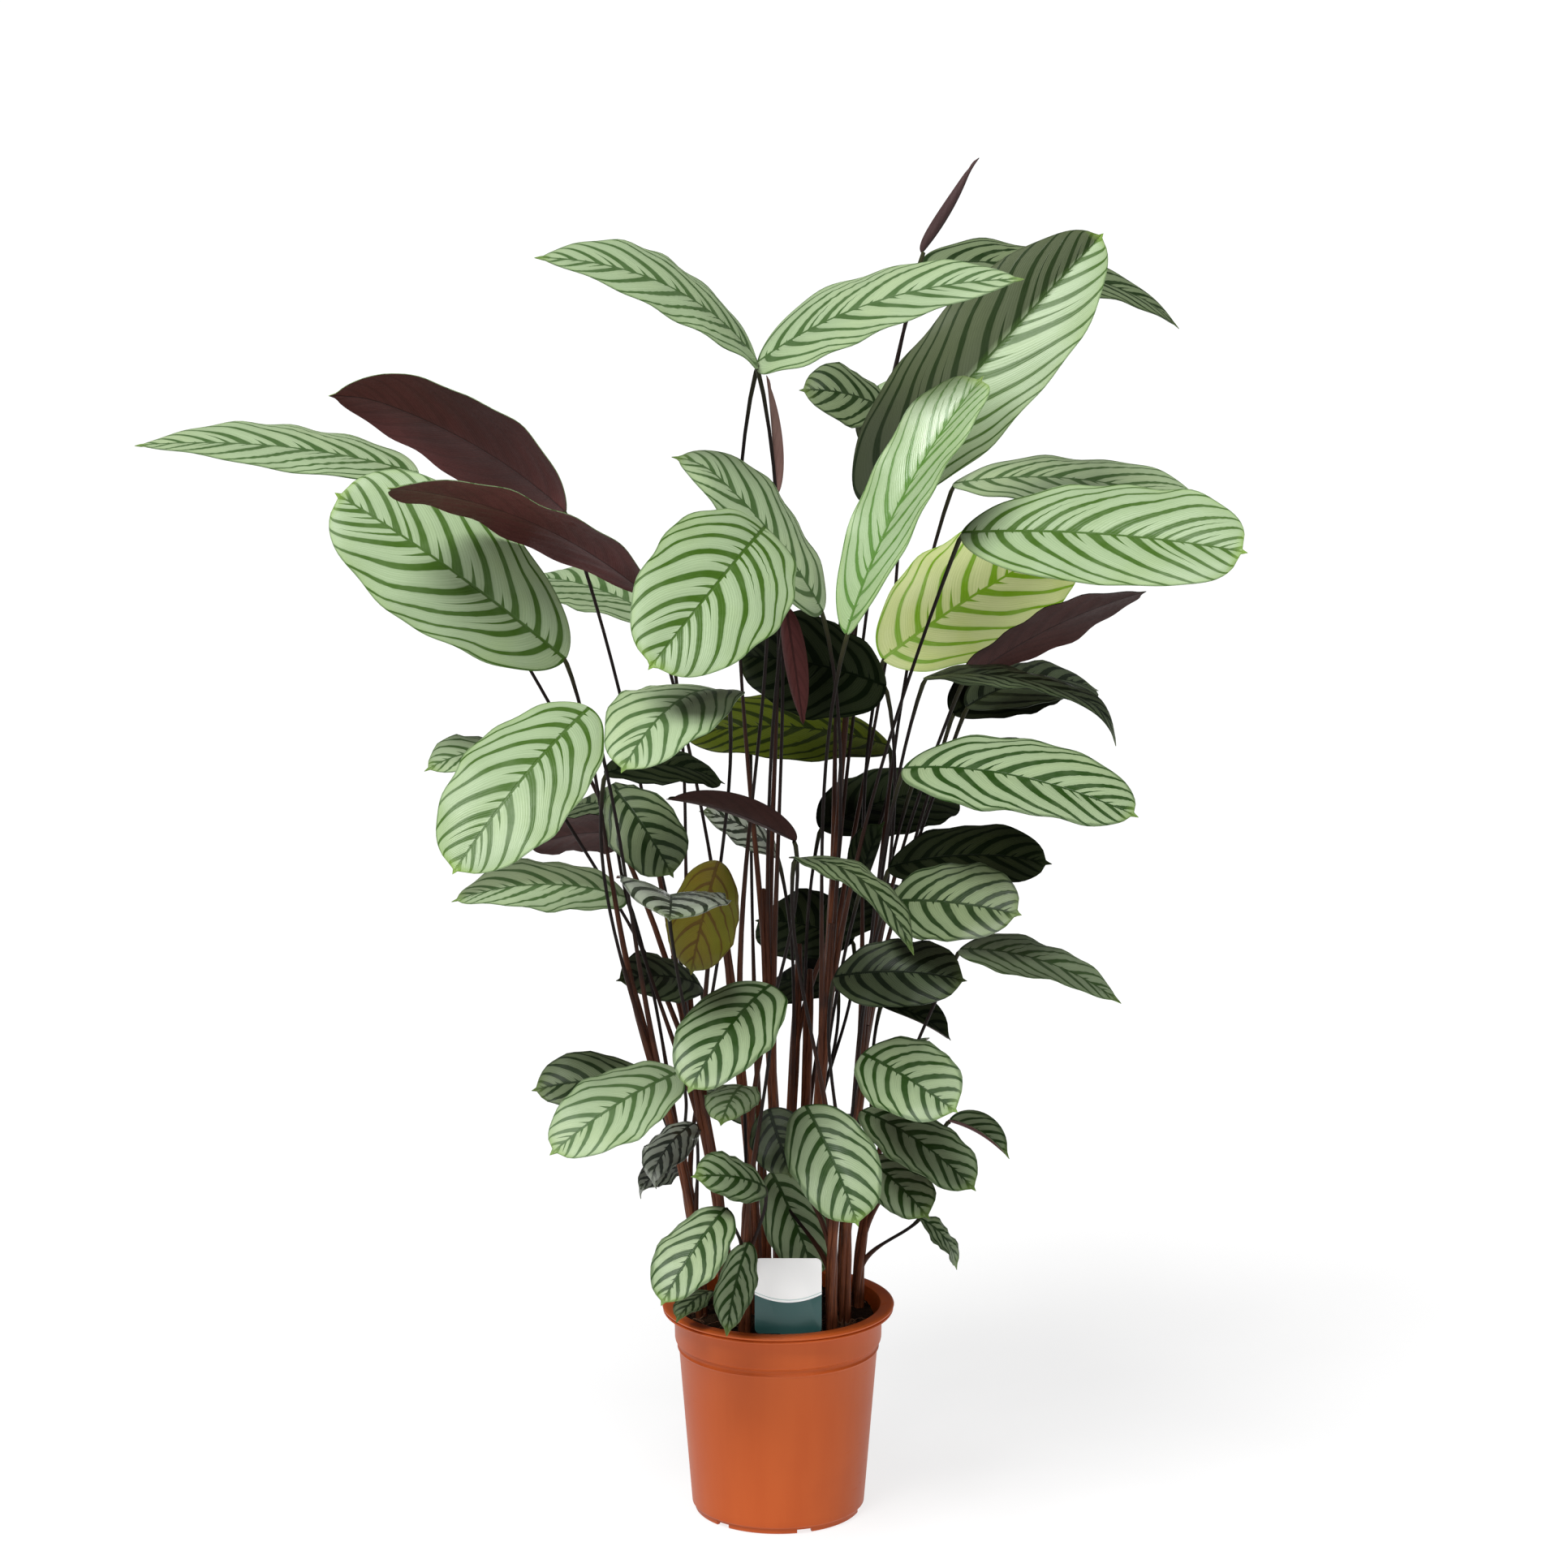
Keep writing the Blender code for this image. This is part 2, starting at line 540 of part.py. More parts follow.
def label_outline(grow):
    """Corner points of the label: a rounded head over a pointed spike."""
    half = LABEL_WIDTH / 2 + grow
    spike = LABEL_SPIKE_WIDTH / 2 + grow
    points = []
    for side, start in ((1, 0), (-1, 90)):
        for step in range(LABEL_CORNER_STEPS + 1):
            turn = math.radians(start + 90 * step / LABEL_CORNER_STEPS)
            points.append((side * (half - LABEL_CORNER) + LABEL_CORNER * math.cos(turn),
                           LABEL_HEAD + grow - LABEL_CORNER + LABEL_CORNER * math.sin(turn)))
    foot = LABEL_POINT - LABEL_SPIKE
    points += [(-half, LABEL_CUT - grow), (LABEL_CUT - half, -grow), (-spike, -grow), (-spike, foot),
               (0, -LABEL_SPIKE - grow),
               (spike, foot), (spike, -grow), (half - LABEL_CUT, -grow), (half, LABEL_CUT - grow)]
    return points


def label_solid(name, grow, material=None):
    """The label's solid where it stands, or one grown on all sides, to cut its slot."""
    points = label_outline(grow)
    depth = LABEL_THICK / 2 + grow
    count = len(points)
    vertices = [(x, -depth, z) for x, z in points] + [(x, depth, z) for x, z in points]
    faces = [tuple(range(count)), tuple(reversed(range(count, 2 * count)))]
    for index in range(count):
        after = (index + 1) % count
        faces.append((count + index, count + after, after, index))
    label = add_object(name, vertices, faces, material)
    label.data.transform(Matrix.Translation(LABEL_PLACE) @ Matrix.Rotation(-LABEL_LEAN, 4, "X"))
    return label


def build_label():
    """The plant label, standing in its slot near the front of the soil."""
    return label_solid("label", 0, finish("label_card", (0.75, 0.78, 0.76), 0.45))


def tube(name, points, radii, sides):
    """A closed tube of a few sides through the points, with the same turn at each ring."""
    points = np.array(points)
    steps = unit(np.diff(points, axis=0))
    tangents = unit(np.vstack([steps[:1], steps[:-1] + steps[1:], steps[-1:]]))
    side = unit(np.cross(tangents[0], (0, -1, 0)))
    vertices, faces = [], []
    for point, tangent, radius in zip(points, tangents, radii):
        side = unit(side - (side @ tangent) * tangent)
        other = np.cross(tangent, side)
        for index in range(sides):
            turn = 2 * math.pi * index / sides
            vertices.append(point + radius * (side * math.cos(turn) + other * math.sin(turn)))
    for ring in range(len(points) - 1):
        for index in range(sides):
            after = (index + 1) % sides
            low, high = ring * sides, (ring + 1) * sides
            faces.append((low + index, low + after, high + after, high + index))
    faces.append(tuple(reversed(range(sides))))
    faces.append(tuple(range(len(vertices) - sides, len(vertices))))
    return add_object(name, vertices, faces)


def curve_points(start, first, second, end, steps):
    """Points of the smooth curve from start to end that first and second pull at."""
    share = np.linspace(0, 1, steps + 1)[:, None]
    rest = 1 - share
    return (rest ** 3 * start + 3 * rest ** 2 * share * first
            + 3 * rest * share ** 2 * second + share ** 3 * end)


def stem_points(shoot):
    """Points along the shoot's stem, from just above the soil to the top of its sheath."""
    root = np.array((*shoot.root, SOIL_TOP + ROOT_COLLAR))
    reach = np.array(shoot.top) - root
    lift = np.array((0, 0, STEM_LIFT * reach[2]))
    return curve_points(root, root + lift, root + STEM_BEND * reach, root + reach, STEM_STEPS)


def point_on_stem(shoot, share):
    """The middle of the stem at a share of its length, and its direction there."""
    points = stem_points(shoot)
    step = min(int(share * STEM_STEPS), STEM_STEPS - 1)
    along = points[step + 1] - points[step]
    return points[step] + (share * STEM_STEPS - step) * along, unit(along)


def stem_solid(shoot):
    """The sheathed stem, upright where it stands in its hole."""
    foot = np.array((*shoot.root, SOIL_TOP - ROOT_DEPTH))
    radii = np.linspace(STEM_RADIUS, STEM_TOP_RADIUS, STEM_STEPS + 1)
    return tube(shoot.name, [foot, *stem_points(shoot)], [STEM_RADIUS, *radii], STEM_SIDES)


def stalk_points(shoot, leaf):
    """The stalk of a leaf, from inside the stem to a little way into the blade."""
    stem_height = shoot.top[2] - SOIL_TOP
    share = min(LAST_PARTING, leaf.part * (leaf.base[2] - SOIL_TOP) / stem_height)
    start, climb = point_on_stem(shoot, share)
    base = np.array(leaf.base)
    reach = base - start
    distance = np.linalg.norm(reach)
    heading = np.array(leaf.tip) - base
    heading[2] = 0
    arrival = unit(reach / distance + KNEE_RISE * np.array((0, 0, 1)) + KNEE_REACH * unit(heading))
    points = curve_points(start, start + climb * distance * STALK_CLIMB,
                          base - arrival * distance * STALK_ARRIVAL, base, STALK_STEPS)
    length = np.linalg.norm(np.array(leaf.tip) - base)
    inside, _, _, up = midrib(leaf, np.array([BLADE_SINK / length]))
    return np.vstack([points, inside - up * BLADE_THICK * BLADE_DEEPER])


def stalk_solid(shoot, leaf):
    """The wiry stalk of one leaf."""
    points = stalk_points(shoot, leaf)
    shares = np.linspace(0, 1, len(points) - 1)
    radii = list(STALK_FOOT_RADIUS + (STALK_TOP_RADIUS - STALK_FOOT_RADIUS) * shares)
    return tube("stalk", points, radii + [STALK_TOP_RADIUS * BLADE_DEEPER], STALK_SIDES)


def blade_solid(leaf):
    """A thin closed blade, split into triangles alike on both faces."""
    rows, columns = next(detail[1:] for detail in BLADE_DETAIL if leaf.width >= detail[0])
    along = (1 - np.cos(np.linspace(0, math.pi, rows + 1))) / 2
    across = np.linspace(-1, 1, columns + 1)
    inner = along[1:-1]
    grid, upward = blade_points(leaf, inner, across)
    ends, _, _, end_up = midrib(leaf, np.array([0.0, 1.0]))
    vertices, half = [], BLADE_THICK / 2
    for side in (1, -1):
        vertices.append(ends[0] + side * half * end_up[0])
        for row in range(len(inner)):
            vertices += [point + side * half * upward[row] for point in grid[row]]
        vertices.append(ends[1] + side * half * end_up[1])
    count = len(vertices) // 2
    width = columns + 1

    def at(row, column):
        return 1 + row * width + column

    top = []
    for column in range(columns):
        top.append((0, at(0, column + 1), at(0, column)))
        last = len(inner) - 1
        top.append((count - 1, at(last, column), at(last, column + 1)))
        for row in range(last):
            a, b = at(row, column), at(row, column + 1)
            c, d = at(row + 1, column + 1), at(row + 1, column)
            top += [(a, b, c), (a, c, d)] if column < columns / 2 else [(a, b, d), (b, c, d)]
    rim = [0] + [at(row, 0) for row in range(len(inner))] + [count - 1]
    rim += [at(row, columns) for row in reversed(range(len(inner)))]
    faces = list(top) + [tuple(count + index for index in reversed(face)) for face in top]
    for here, after in zip(rim, rim[1:] + rim[:1]):
        faces.append((here, after, count + after, count + here))
    return add_object("blade", vertices, faces)


def build_shoot(shoot, material):
    """One leafy stem: its sheath, stalks and blades joined in one solid.

    The stalks part from the stem at slight angles, which the manifold solver joins cleanly.
    """
    stem = stem_solid(shoot)
    pieces = []
    for leaf in shoot.leaves:
        pieces.append(stalk_solid(shoot, leaf))
        pieces.append(blade_solid(leaf))
    for piece in [stem, *pieces]:
        point_outwards(piece)
    apply_boolean(stem, "UNION", pieces, "MANIFOLD")
    stem.data.materials.clear()
    stem.data.materials.append(material)
    return stem


def point_outwards(thing):
    """Turns every face of a closed piece to look outwards."""
    mesh = bmesh.new()
    mesh.from_mesh(thing.data)
    bmesh.ops.recalc_face_normals(mesh, faces=mesh.faces)
    mesh.to_mesh(thing.data)
    mesh.free()


def main():
    """Builds every piece in its place."""
    start_clean()
    build_pot()
    build_soil()
    build_label()
    for shoot in SHOOTS:
        build_shoot(shoot, finish(shoot.name + "_leaf", (0.13, 0.30, 0.10), 0.40))


main()
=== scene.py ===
"""Looks of the potted ctenanthe: striped blades on wiry stalks, a nursery pot of peat and a label.

Metres, +Z up, in the frame's own place, with the plant's front towards -Y. Every leaf is a piece of
its own, and the shoots' sheaths and stalks, the pot, the peat and the label replace their CAD nodes.
"""

import logging
import math
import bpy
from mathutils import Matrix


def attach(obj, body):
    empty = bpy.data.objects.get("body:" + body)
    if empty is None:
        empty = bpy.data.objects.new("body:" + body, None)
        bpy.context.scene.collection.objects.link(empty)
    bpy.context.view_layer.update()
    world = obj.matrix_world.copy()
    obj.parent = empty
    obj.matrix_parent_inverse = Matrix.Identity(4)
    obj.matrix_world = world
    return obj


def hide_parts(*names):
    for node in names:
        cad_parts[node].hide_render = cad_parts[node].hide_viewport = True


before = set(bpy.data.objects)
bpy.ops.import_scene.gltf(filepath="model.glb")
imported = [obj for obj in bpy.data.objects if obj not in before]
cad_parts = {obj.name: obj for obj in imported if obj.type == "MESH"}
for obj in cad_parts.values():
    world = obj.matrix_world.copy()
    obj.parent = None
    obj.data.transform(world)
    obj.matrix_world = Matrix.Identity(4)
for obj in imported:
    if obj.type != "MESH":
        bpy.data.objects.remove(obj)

import zlib
from dataclasses import dataclass
from enum import Enum
from typing import Any, Callable

import bpy
import numpy as np
from mathutils import Vector

LOG = logging.getLogger("ctenanthe")
BODY = "root"
UV_MAP = "UVMap"
FULL_TURN = 2 * math.pi
PEAT_TOP = 0.183
FINE_VEINS = 9
RIGHT_LAG = 0.42
RIGHT_NUMBERS = 31
BLACK = (0.0, 0.0, 0.0)
Colour = tuple[float, float, float]
Point = tuple[float, float, float]
LeafSides = tuple[bpy.types.Material, bpy.types.Material]


class Tone(Enum):
    """How a leaf is coloured, after its age and the light that falls on it: some tones are lit or shaded
    copies of one leaf colour, with painted shade, painted highlights and a painted glow.
    """

    SILVER = "silver"
    BRIGHT = "bright"
    YOUNG = "young"
    BROAD = "broad"
    BACKLIT = "backlit"
    OLIVE = "olive"
    DEEP = "deep"
    DARK = "dark"
    SHADED = "shaded"
    GLOSSY = "glossy"
    FADING = "fading"
    ROLLED = "rolled"
    SPEAR = "spear"


@dataclass(frozen=True)
class LeafPlan:
    """One leaf: where its blade starts and ends, how wide it is and how it lies.

    Its upper side looks towards faces. arch is its rise over its length, and part is where its
    stalk leaves the stem, as a share of the blade's height over the peat. fold, twist and roll are
    in radians. point is how pointed the tip is, curl how far it hangs, and shade how much of the
    left and the right half lies in the shade of other leaves.
    """

    name: str
    base: Point
    tip: Point
    width: float
    faces: Point
    arch: float
    tone: Tone
    part: float = 0.24
    fold: float = math.radians(12)
    point: float = 0.0
    curl: float = 0.0
    twist: float = 0.0
    roll: float = 0.0
    shade: tuple[float, float] = (0.0, 0.0)


@dataclass(frozen=True)
class ShootPlan:
    """One leafy stem: where it leaves the peat, where its sheath ends, and its leaves."""

    name: str
    root: tuple[float, float]
    top: Point
    leaves: list[LeafPlan]


PLANT = [
    ShootPlan("shoot_left_tall", (-0.07, -0.015), (-0.132, -0.045, 0.514), [
        LeafPlan("broad", (-0.186, -0.02, 0.788), (-0.385, -0.02, 0.935),
                 0.13, (0.4, -0.85, 0.3), 0.06, Tone.BRIGHT, part=0.43, point=-0.2),
        LeafPlan("bright", (-0.16, -0.14, 0.768), (-0.27, -0.26, 0.65),
                 0.108, (0.05, -0.7, 0.7), 0.08, Tone.BRIGHT),
        LeafPlan("shaded", (-0.15, -0.09, 0.7), (-0.046, -0.065, 0.686),
                 0.08, (0.25, -0.15, 0.95), 0.12, Tone.DARK, part=0.28),
        LeafPlan("glossy", (-0.074, -0.055, 0.377), (-0.114, -0.095, 0.331),
                 0.052, (-0.5, -0.5, 0.7), 0.12, Tone.GLOSSY, point=0.4, curl=0.15),
        LeafPlan("level", (-0.134, -0.005, 0.57), (-0.287, -0.045, 0.576),
                 0.092, (0.15, -0.3, 0.95), 0.1, Tone.SILVER, point=0.15, twist=-0.3, shade=(0, 0.6)),
    ]),
    ShootPlan("shoot_left_back", (-0.05, 0.035), (-0.095, 0.075, 0.498), [
        LeafPlan("far", (-0.321, 0.1, 0.935), (-0.566, 0.04, 0.968),
                 0.106, (0.2, -0.25, 0.95), 0.05, Tone.SILVER, point=0.9),
        LeafPlan("turned", (-0.188, 0.06, 0.906), (-0.401, 0.14, 1.008),
                 0.111, (0.5, 0.75, 0.45), 0.08, Tone.SILVER, point=0.5, curl=0.05),
        LeafPlan("tucked", (-0.221, 0.02, 0.694), (-0.311, -0.02, 0.688),
                 0.07, (0.05, -0.25, 0.95), 0.12, Tone.SILVER, part=0.28),
        LeafPlan("inner", (-0.103, 0.16, 0.788), (-0.238, 0.24, 0.818),
                 0.106, (0.1, -0.2, 0.95), 0.08, Tone.SILVER, point=0.3),
        LeafPlan("low", (-0.12, 0.16, 0.605), (-0.2, 0.24, 0.598),
                 0.08, (-0.3, -0.15, 0.95), 0.1, Tone.SHADED, point=0.3),
        LeafPlan("maroon", (-0.12, 0.115, 0.598), (-0.23, 0.115, 0.588),
                 0.075, (-0.05, 0.65, 0.75), 0.1, Tone.DARK, part=0.28),
    ]),
    ShootPlan("shoot_left_front", (-0.045, -0.04), (-0.075, -0.085, 0.443), [
        LeafPlan("arched", (-0.042, -0.14, 0.781), (-0.128, -0.3, 0.744),
                 0.092, (0, -0.2, 1), 0.14, Tone.SILVER, twist=0.35),
        LeafPlan("hanging", (-0.144, 0, 0.667), (-0.092, -0.03, 0.594),
                 0.075, (0.35, -0.75, 0.5), 0.06, Tone.SHADED),
        LeafPlan("saddle", (-0.094, -0.18, 0.611), (-0.089, -0.298, 0.619),
                 0.104, (0.2, 0.05, 1), 0.09, Tone.GLOSSY, fold=0.384),
        LeafPlan("fading", (-0.051, -0.12, 0.63), (-0.075, -0.13, 0.531),
                 0.067, (-0.4, -0.9, 0.2), 0.04, Tone.FADING, part=0.38),
    ]),
    ShootPlan("shoot_middle_left", (-0.019, -0.005), (-0.046, -0.04, 0.544), [
        LeafPlan("long_turned", (-0.115, 0, 0.842), (-0.33, -0.125, 0.954),
                 0.1, (0.25, 0.55, 0.8), 0.08, Tone.SILVER, point=-0.1),
        LeafPlan("shield", (-0.011, -0.1, 0.917), (-0.106, -0.28, 0.826),
                 0.124, (0.45, -0.55, 0.7), 0.14, Tone.BRIGHT, point=-0.1),
        LeafPlan("small_turned", (0.015, -0.105, 0.644), (-0.094, -0.19, 0.699),
                 0.046, (0.2, 0.6, 0.8), 0.05, Tone.DARK, roll=0.9),
    ]),
    ShootPlan("shoot_middle", (0, 0.015), (-0.013, 0.01, 0.575), [
        LeafPlan("top_left", (-0.019, 0, 1.049), (-0.205, -0.1, 1.146),
                 0.112, (0.55, -0.3, 0.8), 0.12, Tone.SILVER, point=0.8),
        LeafPlan("top_right", (-0.018, 0.015, 1.044), (0.21, -0.06, 1.124),
                 0.108, (-0.4, -0.4, 0.8), 0.09, Tone.SILVER, point=0.8),
        LeafPlan("rolled", (-0.003, 0.012, 0.928), (-0.01, 0.025, 1.032),
                 0.022, (0.9, 0.45, 0.05), 0.02, Tone.ROLLED, part=0.2, point=0.8, roll=2.4),
        LeafPlan("folded", (0.007, -0.03, 0.836), (0.022, -0.055, 0.737),
                 0.026, (0.1, 0.9, 0.3), 0.02, Tone.DEEP, part=0.28, point=0.5, roll=1.2),
    ]),
    ShootPlan("shoot_middle_back", (0.008, 0.055), (0.019, 0.115, 0.499), [
        LeafPlan("backlit", (0.104, 0.2, 0.666), (-0.091, 0.16, 0.684),
                 0.105, (0.15, -0.35, 0.9), 0.08, Tone.OLIVE, part=0.38),
        LeafPlan("curled", (-0.001, 0.075, 0.592), (-0.071, 0.055, 0.636),
                 0.06, (0.65, -0.3, 0.7), 0.1, Tone.GLOSSY),
    ]),
    ShootPlan("shoot_tall_right", (0.032, 0.04), (0.051, 0.115, 0.579), [
        LeafPlan("spear", (0.128, 0.12, 1.13), (0.176, 0.16, 1.212),
                 0.024, (-0.8, 0.45, 0.4), -0.05, Tone.SPEAR, point=1, roll=2.2, curl=0.04),
        LeafPlan("over_back", (0.132, 0.24, 1.108), (0.378, 0.3, 1.049),
                 0.098, (0.25, -0.3, 0.9), 0.09, Tone.SHADED, part=0.28, point=0.7, curl=0.03),
        LeafPlan("high", (0.104, 0.255, 0.97), (0.019, 0.23, 0.994),
                 0.085, (0.55, -0.45, 0.75), 0.1, Tone.SHADED, part=0.2),
        LeafPlan("rear", (0.1, 0.23, 0.923), (0.166, 0.4, 0.988),
                 0.098, (0.1, 0.1, 1), 0.12, Tone.SILVER, point=0.4),
        LeafPlan("largest", (0.074, 0.1, 0.91), (0.292, 0.16, 1.144),
                 0.126, (0, -0.95, 0.25), 0.08, Tone.BRIGHT, part=0.43, point=0.2, fold=0.44,
                 shade=(0.85, 0)),
    ]),
    ShootPlan("shoot_right_tall", (0.03, -0.012), (0.047, -0.035, 0.554), [
        LeafPlan("behind_shield", (0.039, -0.025, 0.831), (-0.083, -0.05, 0.98),
                 0.105, (0.7, -0.45, 0.55), 0.06, Tone.SILVER, point=0.3, curl=0.08),
        LeafPlan("upright", (0.059, -0.1, 0.824), (0.177, -0.04, 1.039),
                 0.088, (-0.6, -0.62, 0.5), 0.07, Tone.YOUNG, fold=0.42, point=-0.4),
        LeafPlan("reaching", (0.159, -0.04, 0.903), (0.397, -0.14, 0.901),
                 0.124, (-0.25, -0.55, 0.8), 0.04, Tone.BRIGHT, point=-0.25),
        LeafPlan("small_upright", (0.074, 0, 0.58), (0.094, -0.02, 0.643),
                 0.042, (-0.8, -0.6, 0.05), 0.06, Tone.DARK, roll=1.0),
    ]),
    ShootPlan("shoot_right_back", (0.06, 0.04), (0.084, 0.085, 0.479), [
        LeafPlan("high", (0.163, 0.275, 0.901), (0.388, 0.2, 0.89),
                 0.1, (0, -0.32, 0.95), 0.07, Tone.SILVER),
        LeafPlan("backlit", (0.095, 0.14, 0.759), (0.27, 0.23, 0.853),
                 0.128, (-0.05, -0.78, 0.6), 0.06, Tone.BACKLIT),
        LeafPlan("turned", (0.164, 0.04, 0.757), (0.323, 0, 0.845),
                 0.076, (-0.3, 0.6, 0.75), 0.05, Tone.DARK, part=0.38, point=0.3),
        LeafPlan("inward", (0.097, 0.076, 0.746), (-0.039, 0.056, 0.777),
                 0.116, (0.55, -0.6, 0.6), 0.08, Tone.DARK, part=0.2),
        LeafPlan("dark", (0.159, 0.14, 0.708), (0.264, 0.24, 0.717),
                 0.085, (0.25, -0.3, 0.95), 0.1, Tone.DARK),
        LeafPlan("striped", (0.169, 0.08, 0.726), (0.292, 0.14, 0.73),
                 0.085, (0.1, -0.25, 0.95), 0.14, Tone.DEEP, part=0.28),
        LeafPlan("tucked", (0.124, 0.165, 0.64), (0.264, 0.225, 0.652),
                 0.085, (0, -0.15, 1), 0.1, Tone.DEEP),
    ]),
    ShootPlan("shoot_right", (0.058, 0), (0.079, -0.015, 0.456), [
        LeafPlan("thin", (0.129, 0, 0.768), (0.305, -0.06, 0.737),
                 0.07, (0.15, -0.1, 1), 0.1, Tone.DEEP, point=0.8, curl=0.12),
        LeafPlan("broad", (0.109, -0.07, 0.701), (0.306, -0.17, 0.679),
                 0.106, (-0.15, -0.45, 0.9), 0.08, Tone.BROAD, twist=0.2),
        LeafPlan("dark", (0.099, 0.05, 0.585), (0.245, 0.03, 0.593),
                 0.095, (-0.15, -0.4, 0.9), 0.08, Tone.DARK),
        LeafPlan("level", (0.094, -0.07, 0.582), (0.209, -0.15, 0.589),
                 0.088, (-0.45, -0.5, 0.75), 0.06, Tone.SHADED),
    ]),
    ShootPlan("shoot_right_front", (0.06, -0.035), (0.061, -0.05, 0.326), [
        LeafPlan("high", (0.049, -0.085, 0.518), (0.164, -0.115, 0.522),
                 0.082, (-0.1, -0.55, 0.8), 0.08, Tone.DEEP),
        LeafPlan("round", (0.074, -0.1, 0.453), (0.154, -0.19, 0.425),
                 0.078, (-0.35, -0.55, 0.75), 0.06, Tone.BROAD),
        LeafPlan("side", (0.079, -0.03, 0.337), (0.134, -0.08, 0.296),
                 0.058, (0, -0.6, 0.8), 0.08, Tone.BROAD),
        LeafPlan("drooping", (0.074, -0.06, 0.39), (0.173, -0.12, 0.334),
                 0.07, (0.15, -0.5, 0.85), 0.08, Tone.BROAD),
    ]),
    ShootPlan("shoot_front", (0.047, -0.056), (0.051, -0.1, 0.335), [
        LeafPlan("bright", (0.024, -0.125, 0.413), (0.069, -0.205, 0.328),
                 0.08, (0.08, -0.7, 0.7), 0.08, Tone.BROAD),
        LeafPlan("shaded", (-0.008, -0.075, 0.396), (0.012, -0.105, 0.341),
                 0.054, (-0.15, -0.7, 0.7), 0.08, Tone.DEEP),
        LeafPlan("hanging", (-0.006, -0.02, 0.322), (0.034, -0.05, 0.228),
                 0.062, (0.4, -0.85, 0.4), 0.06, Tone.BROAD),
        LeafPlan("narrow", (0.014, -0.15, 0.639), (0.114, -0.24, 0.576),
                 0.066, (0.4, -0.15, 0.9), 0.16, Tone.SHADED, point=0.8),
    ]),
    ShootPlan("shoot_front_left", (-0.03, -0.062), (-0.027, -0.105, 0.325), [
        LeafPlan("high", (-0.006, -0.16, 0.53), (-0.075, -0.28, 0.467),
                 0.08, (0.05, -0.5, 0.85), 0.1, Tone.BROAD),
        LeafPlan("under", (-0.031, -0.05, 0.41), (-0.05, -0.12, 0.393),
                 0.048, (0, -0.2, 1), 0.1, Tone.SILVER),
        LeafPlan("sideways", (-0.011, -0.125, 0.339), (-0.075, -0.17, 0.362),
                 0.052, (0.6, -0.4, 0.7), 0.1, Tone.BROAD),
        LeafPlan("low", (-0.045, -0.15, 0.328), (-0.1, -0.22, 0.262),
                 0.062, (-0.15, -0.6, 0.8), 0.06, Tone.BROAD, part=0.28),
        LeafPlan("over_rim", (-0.026, -0.1, 0.281), (-0.045, -0.135, 0.206),
                 0.04, (-0.45, -0.75, 0.45), 0.06, Tone.BROAD, point=0.3),
        LeafPlan("at_rim", (-0.06, -0.06, 0.223), (-0.09, -0.1, 0.207),
                 0.03, (-0.2, -0.2, 0.95), 0.1, Tone.SHADED),
    ]),
    ShootPlan("shoot_left_low", (-0.072, 0.014), (-0.085, 0.01, 0.319), [
        LeafPlan("high", (-0.07, 0.046, 0.477), (-0.145, 0.008, 0.491),
                 0.066, (0.4, -0.35, 0.85), 0.1, Tone.DEEP),
        LeafPlan("near", (-0.085, -0.12, 0.442), (-0.195, -0.2, 0.39),
                 0.076, (0.05, -0.6, 0.8), 0.08, Tone.SILVER, part=0.38),
        LeafPlan("behind", (-0.115, 0, 0.398), (-0.22, -0.02, 0.397),
                 0.07, (0.1, -0.55, 0.85), 0.08, Tone.SHADED),
        LeafPlan("curled", (-0.085, 0.05, 0.305), (-0.13, 0.03, 0.285),
                 0.04, (-0.25, -0.3, 0.9), 0.15, Tone.GLOSSY, point=0.4, curl=0.15),
    ]),
    ShootPlan("shoot_back", (0.023, 0.07), (0.029, 0.1, 0.479), [
        LeafPlan("deep", (0.039, 0.22, 0.584), (0.169, 0.32, 0.597),
                 0.098, (0.2, -0.4, 0.9), 0.08, Tone.DARK),
        LeafPlan("right", (0.054, 0.15, 0.493), (0.121, 0.27, 0.516),
                 0.08, (-0.2, -0.5, 0.85), 0.12, Tone.DARK),
        LeafPlan("inner", (0.07, 0.195, 0.482), (-0.022, 0.235, 0.492),
                 0.092, (0.1, -0.6, 0.8), 0.08, Tone.DARK),
        LeafPlan("under", (0.055, 0.15, 0.447), (-0.01, 0.2, 0.44),
                 0.078, (0.1, -0.5, 0.85), 0.08, Tone.DARK),
    ]),
    ShootPlan("shoot_back_low", (-0.011, 0.073), (-0.016, 0.1, 0.302), [
        LeafPlan("left", (-0.026, 0.22, 0.668), (-0.019, 0.4, 0.655),
                 0.092, (0.2, 0.2, 0.95), 0.12, Tone.DARK, point=0.5),
        LeafPlan("middle", (0.025, 0.12, 0.313), (0.038, 0.27, 0.278),
                 0.078, (0, 0.1, 1), 0.1, Tone.DARK),
        LeafPlan("low", (-0.031, 0.1, 0.331), (-0.08, 0.22, 0.335),
                 0.07, (0.15, 0.2, 0.95), 0.1, Tone.BROAD),
    ]),
    ShootPlan("shoot_right_low", (0.072, 0.014), (0.089, 0.045, 0.32), [
        LeafPlan("long", (0.164, 0.06, 0.507), (0.308, 0.02, 0.467),
                 0.078, (0.2, -0.25, 0.95), 0.1, Tone.SILVER, point=0.7),
        LeafPlan("inner", (0.094, 0.1, 0.445), (0.159, 0.12, 0.406),
                 0.05, (0.6, -0.3, 0.75), 0.1, Tone.DARK, roll=0.8),
        LeafPlan("back", (0.089, 0.12, 0.362), (0.129, 0.23, 0.375),
                 0.066, (-0.2, 0.2, 0.95), 0.1, Tone.SILVER),
        LeafPlan("narrow", (0.154, 0.02, 0.358), (0.208, 0, 0.328),
                 0.042, (0.4, -0.25, 0.9), 0.12, Tone.BROAD, point=0.5, roll=1.0),
        LeafPlan("drooping", (0.129, 0.04, 0.26), (0.163, 0.04, 0.211),
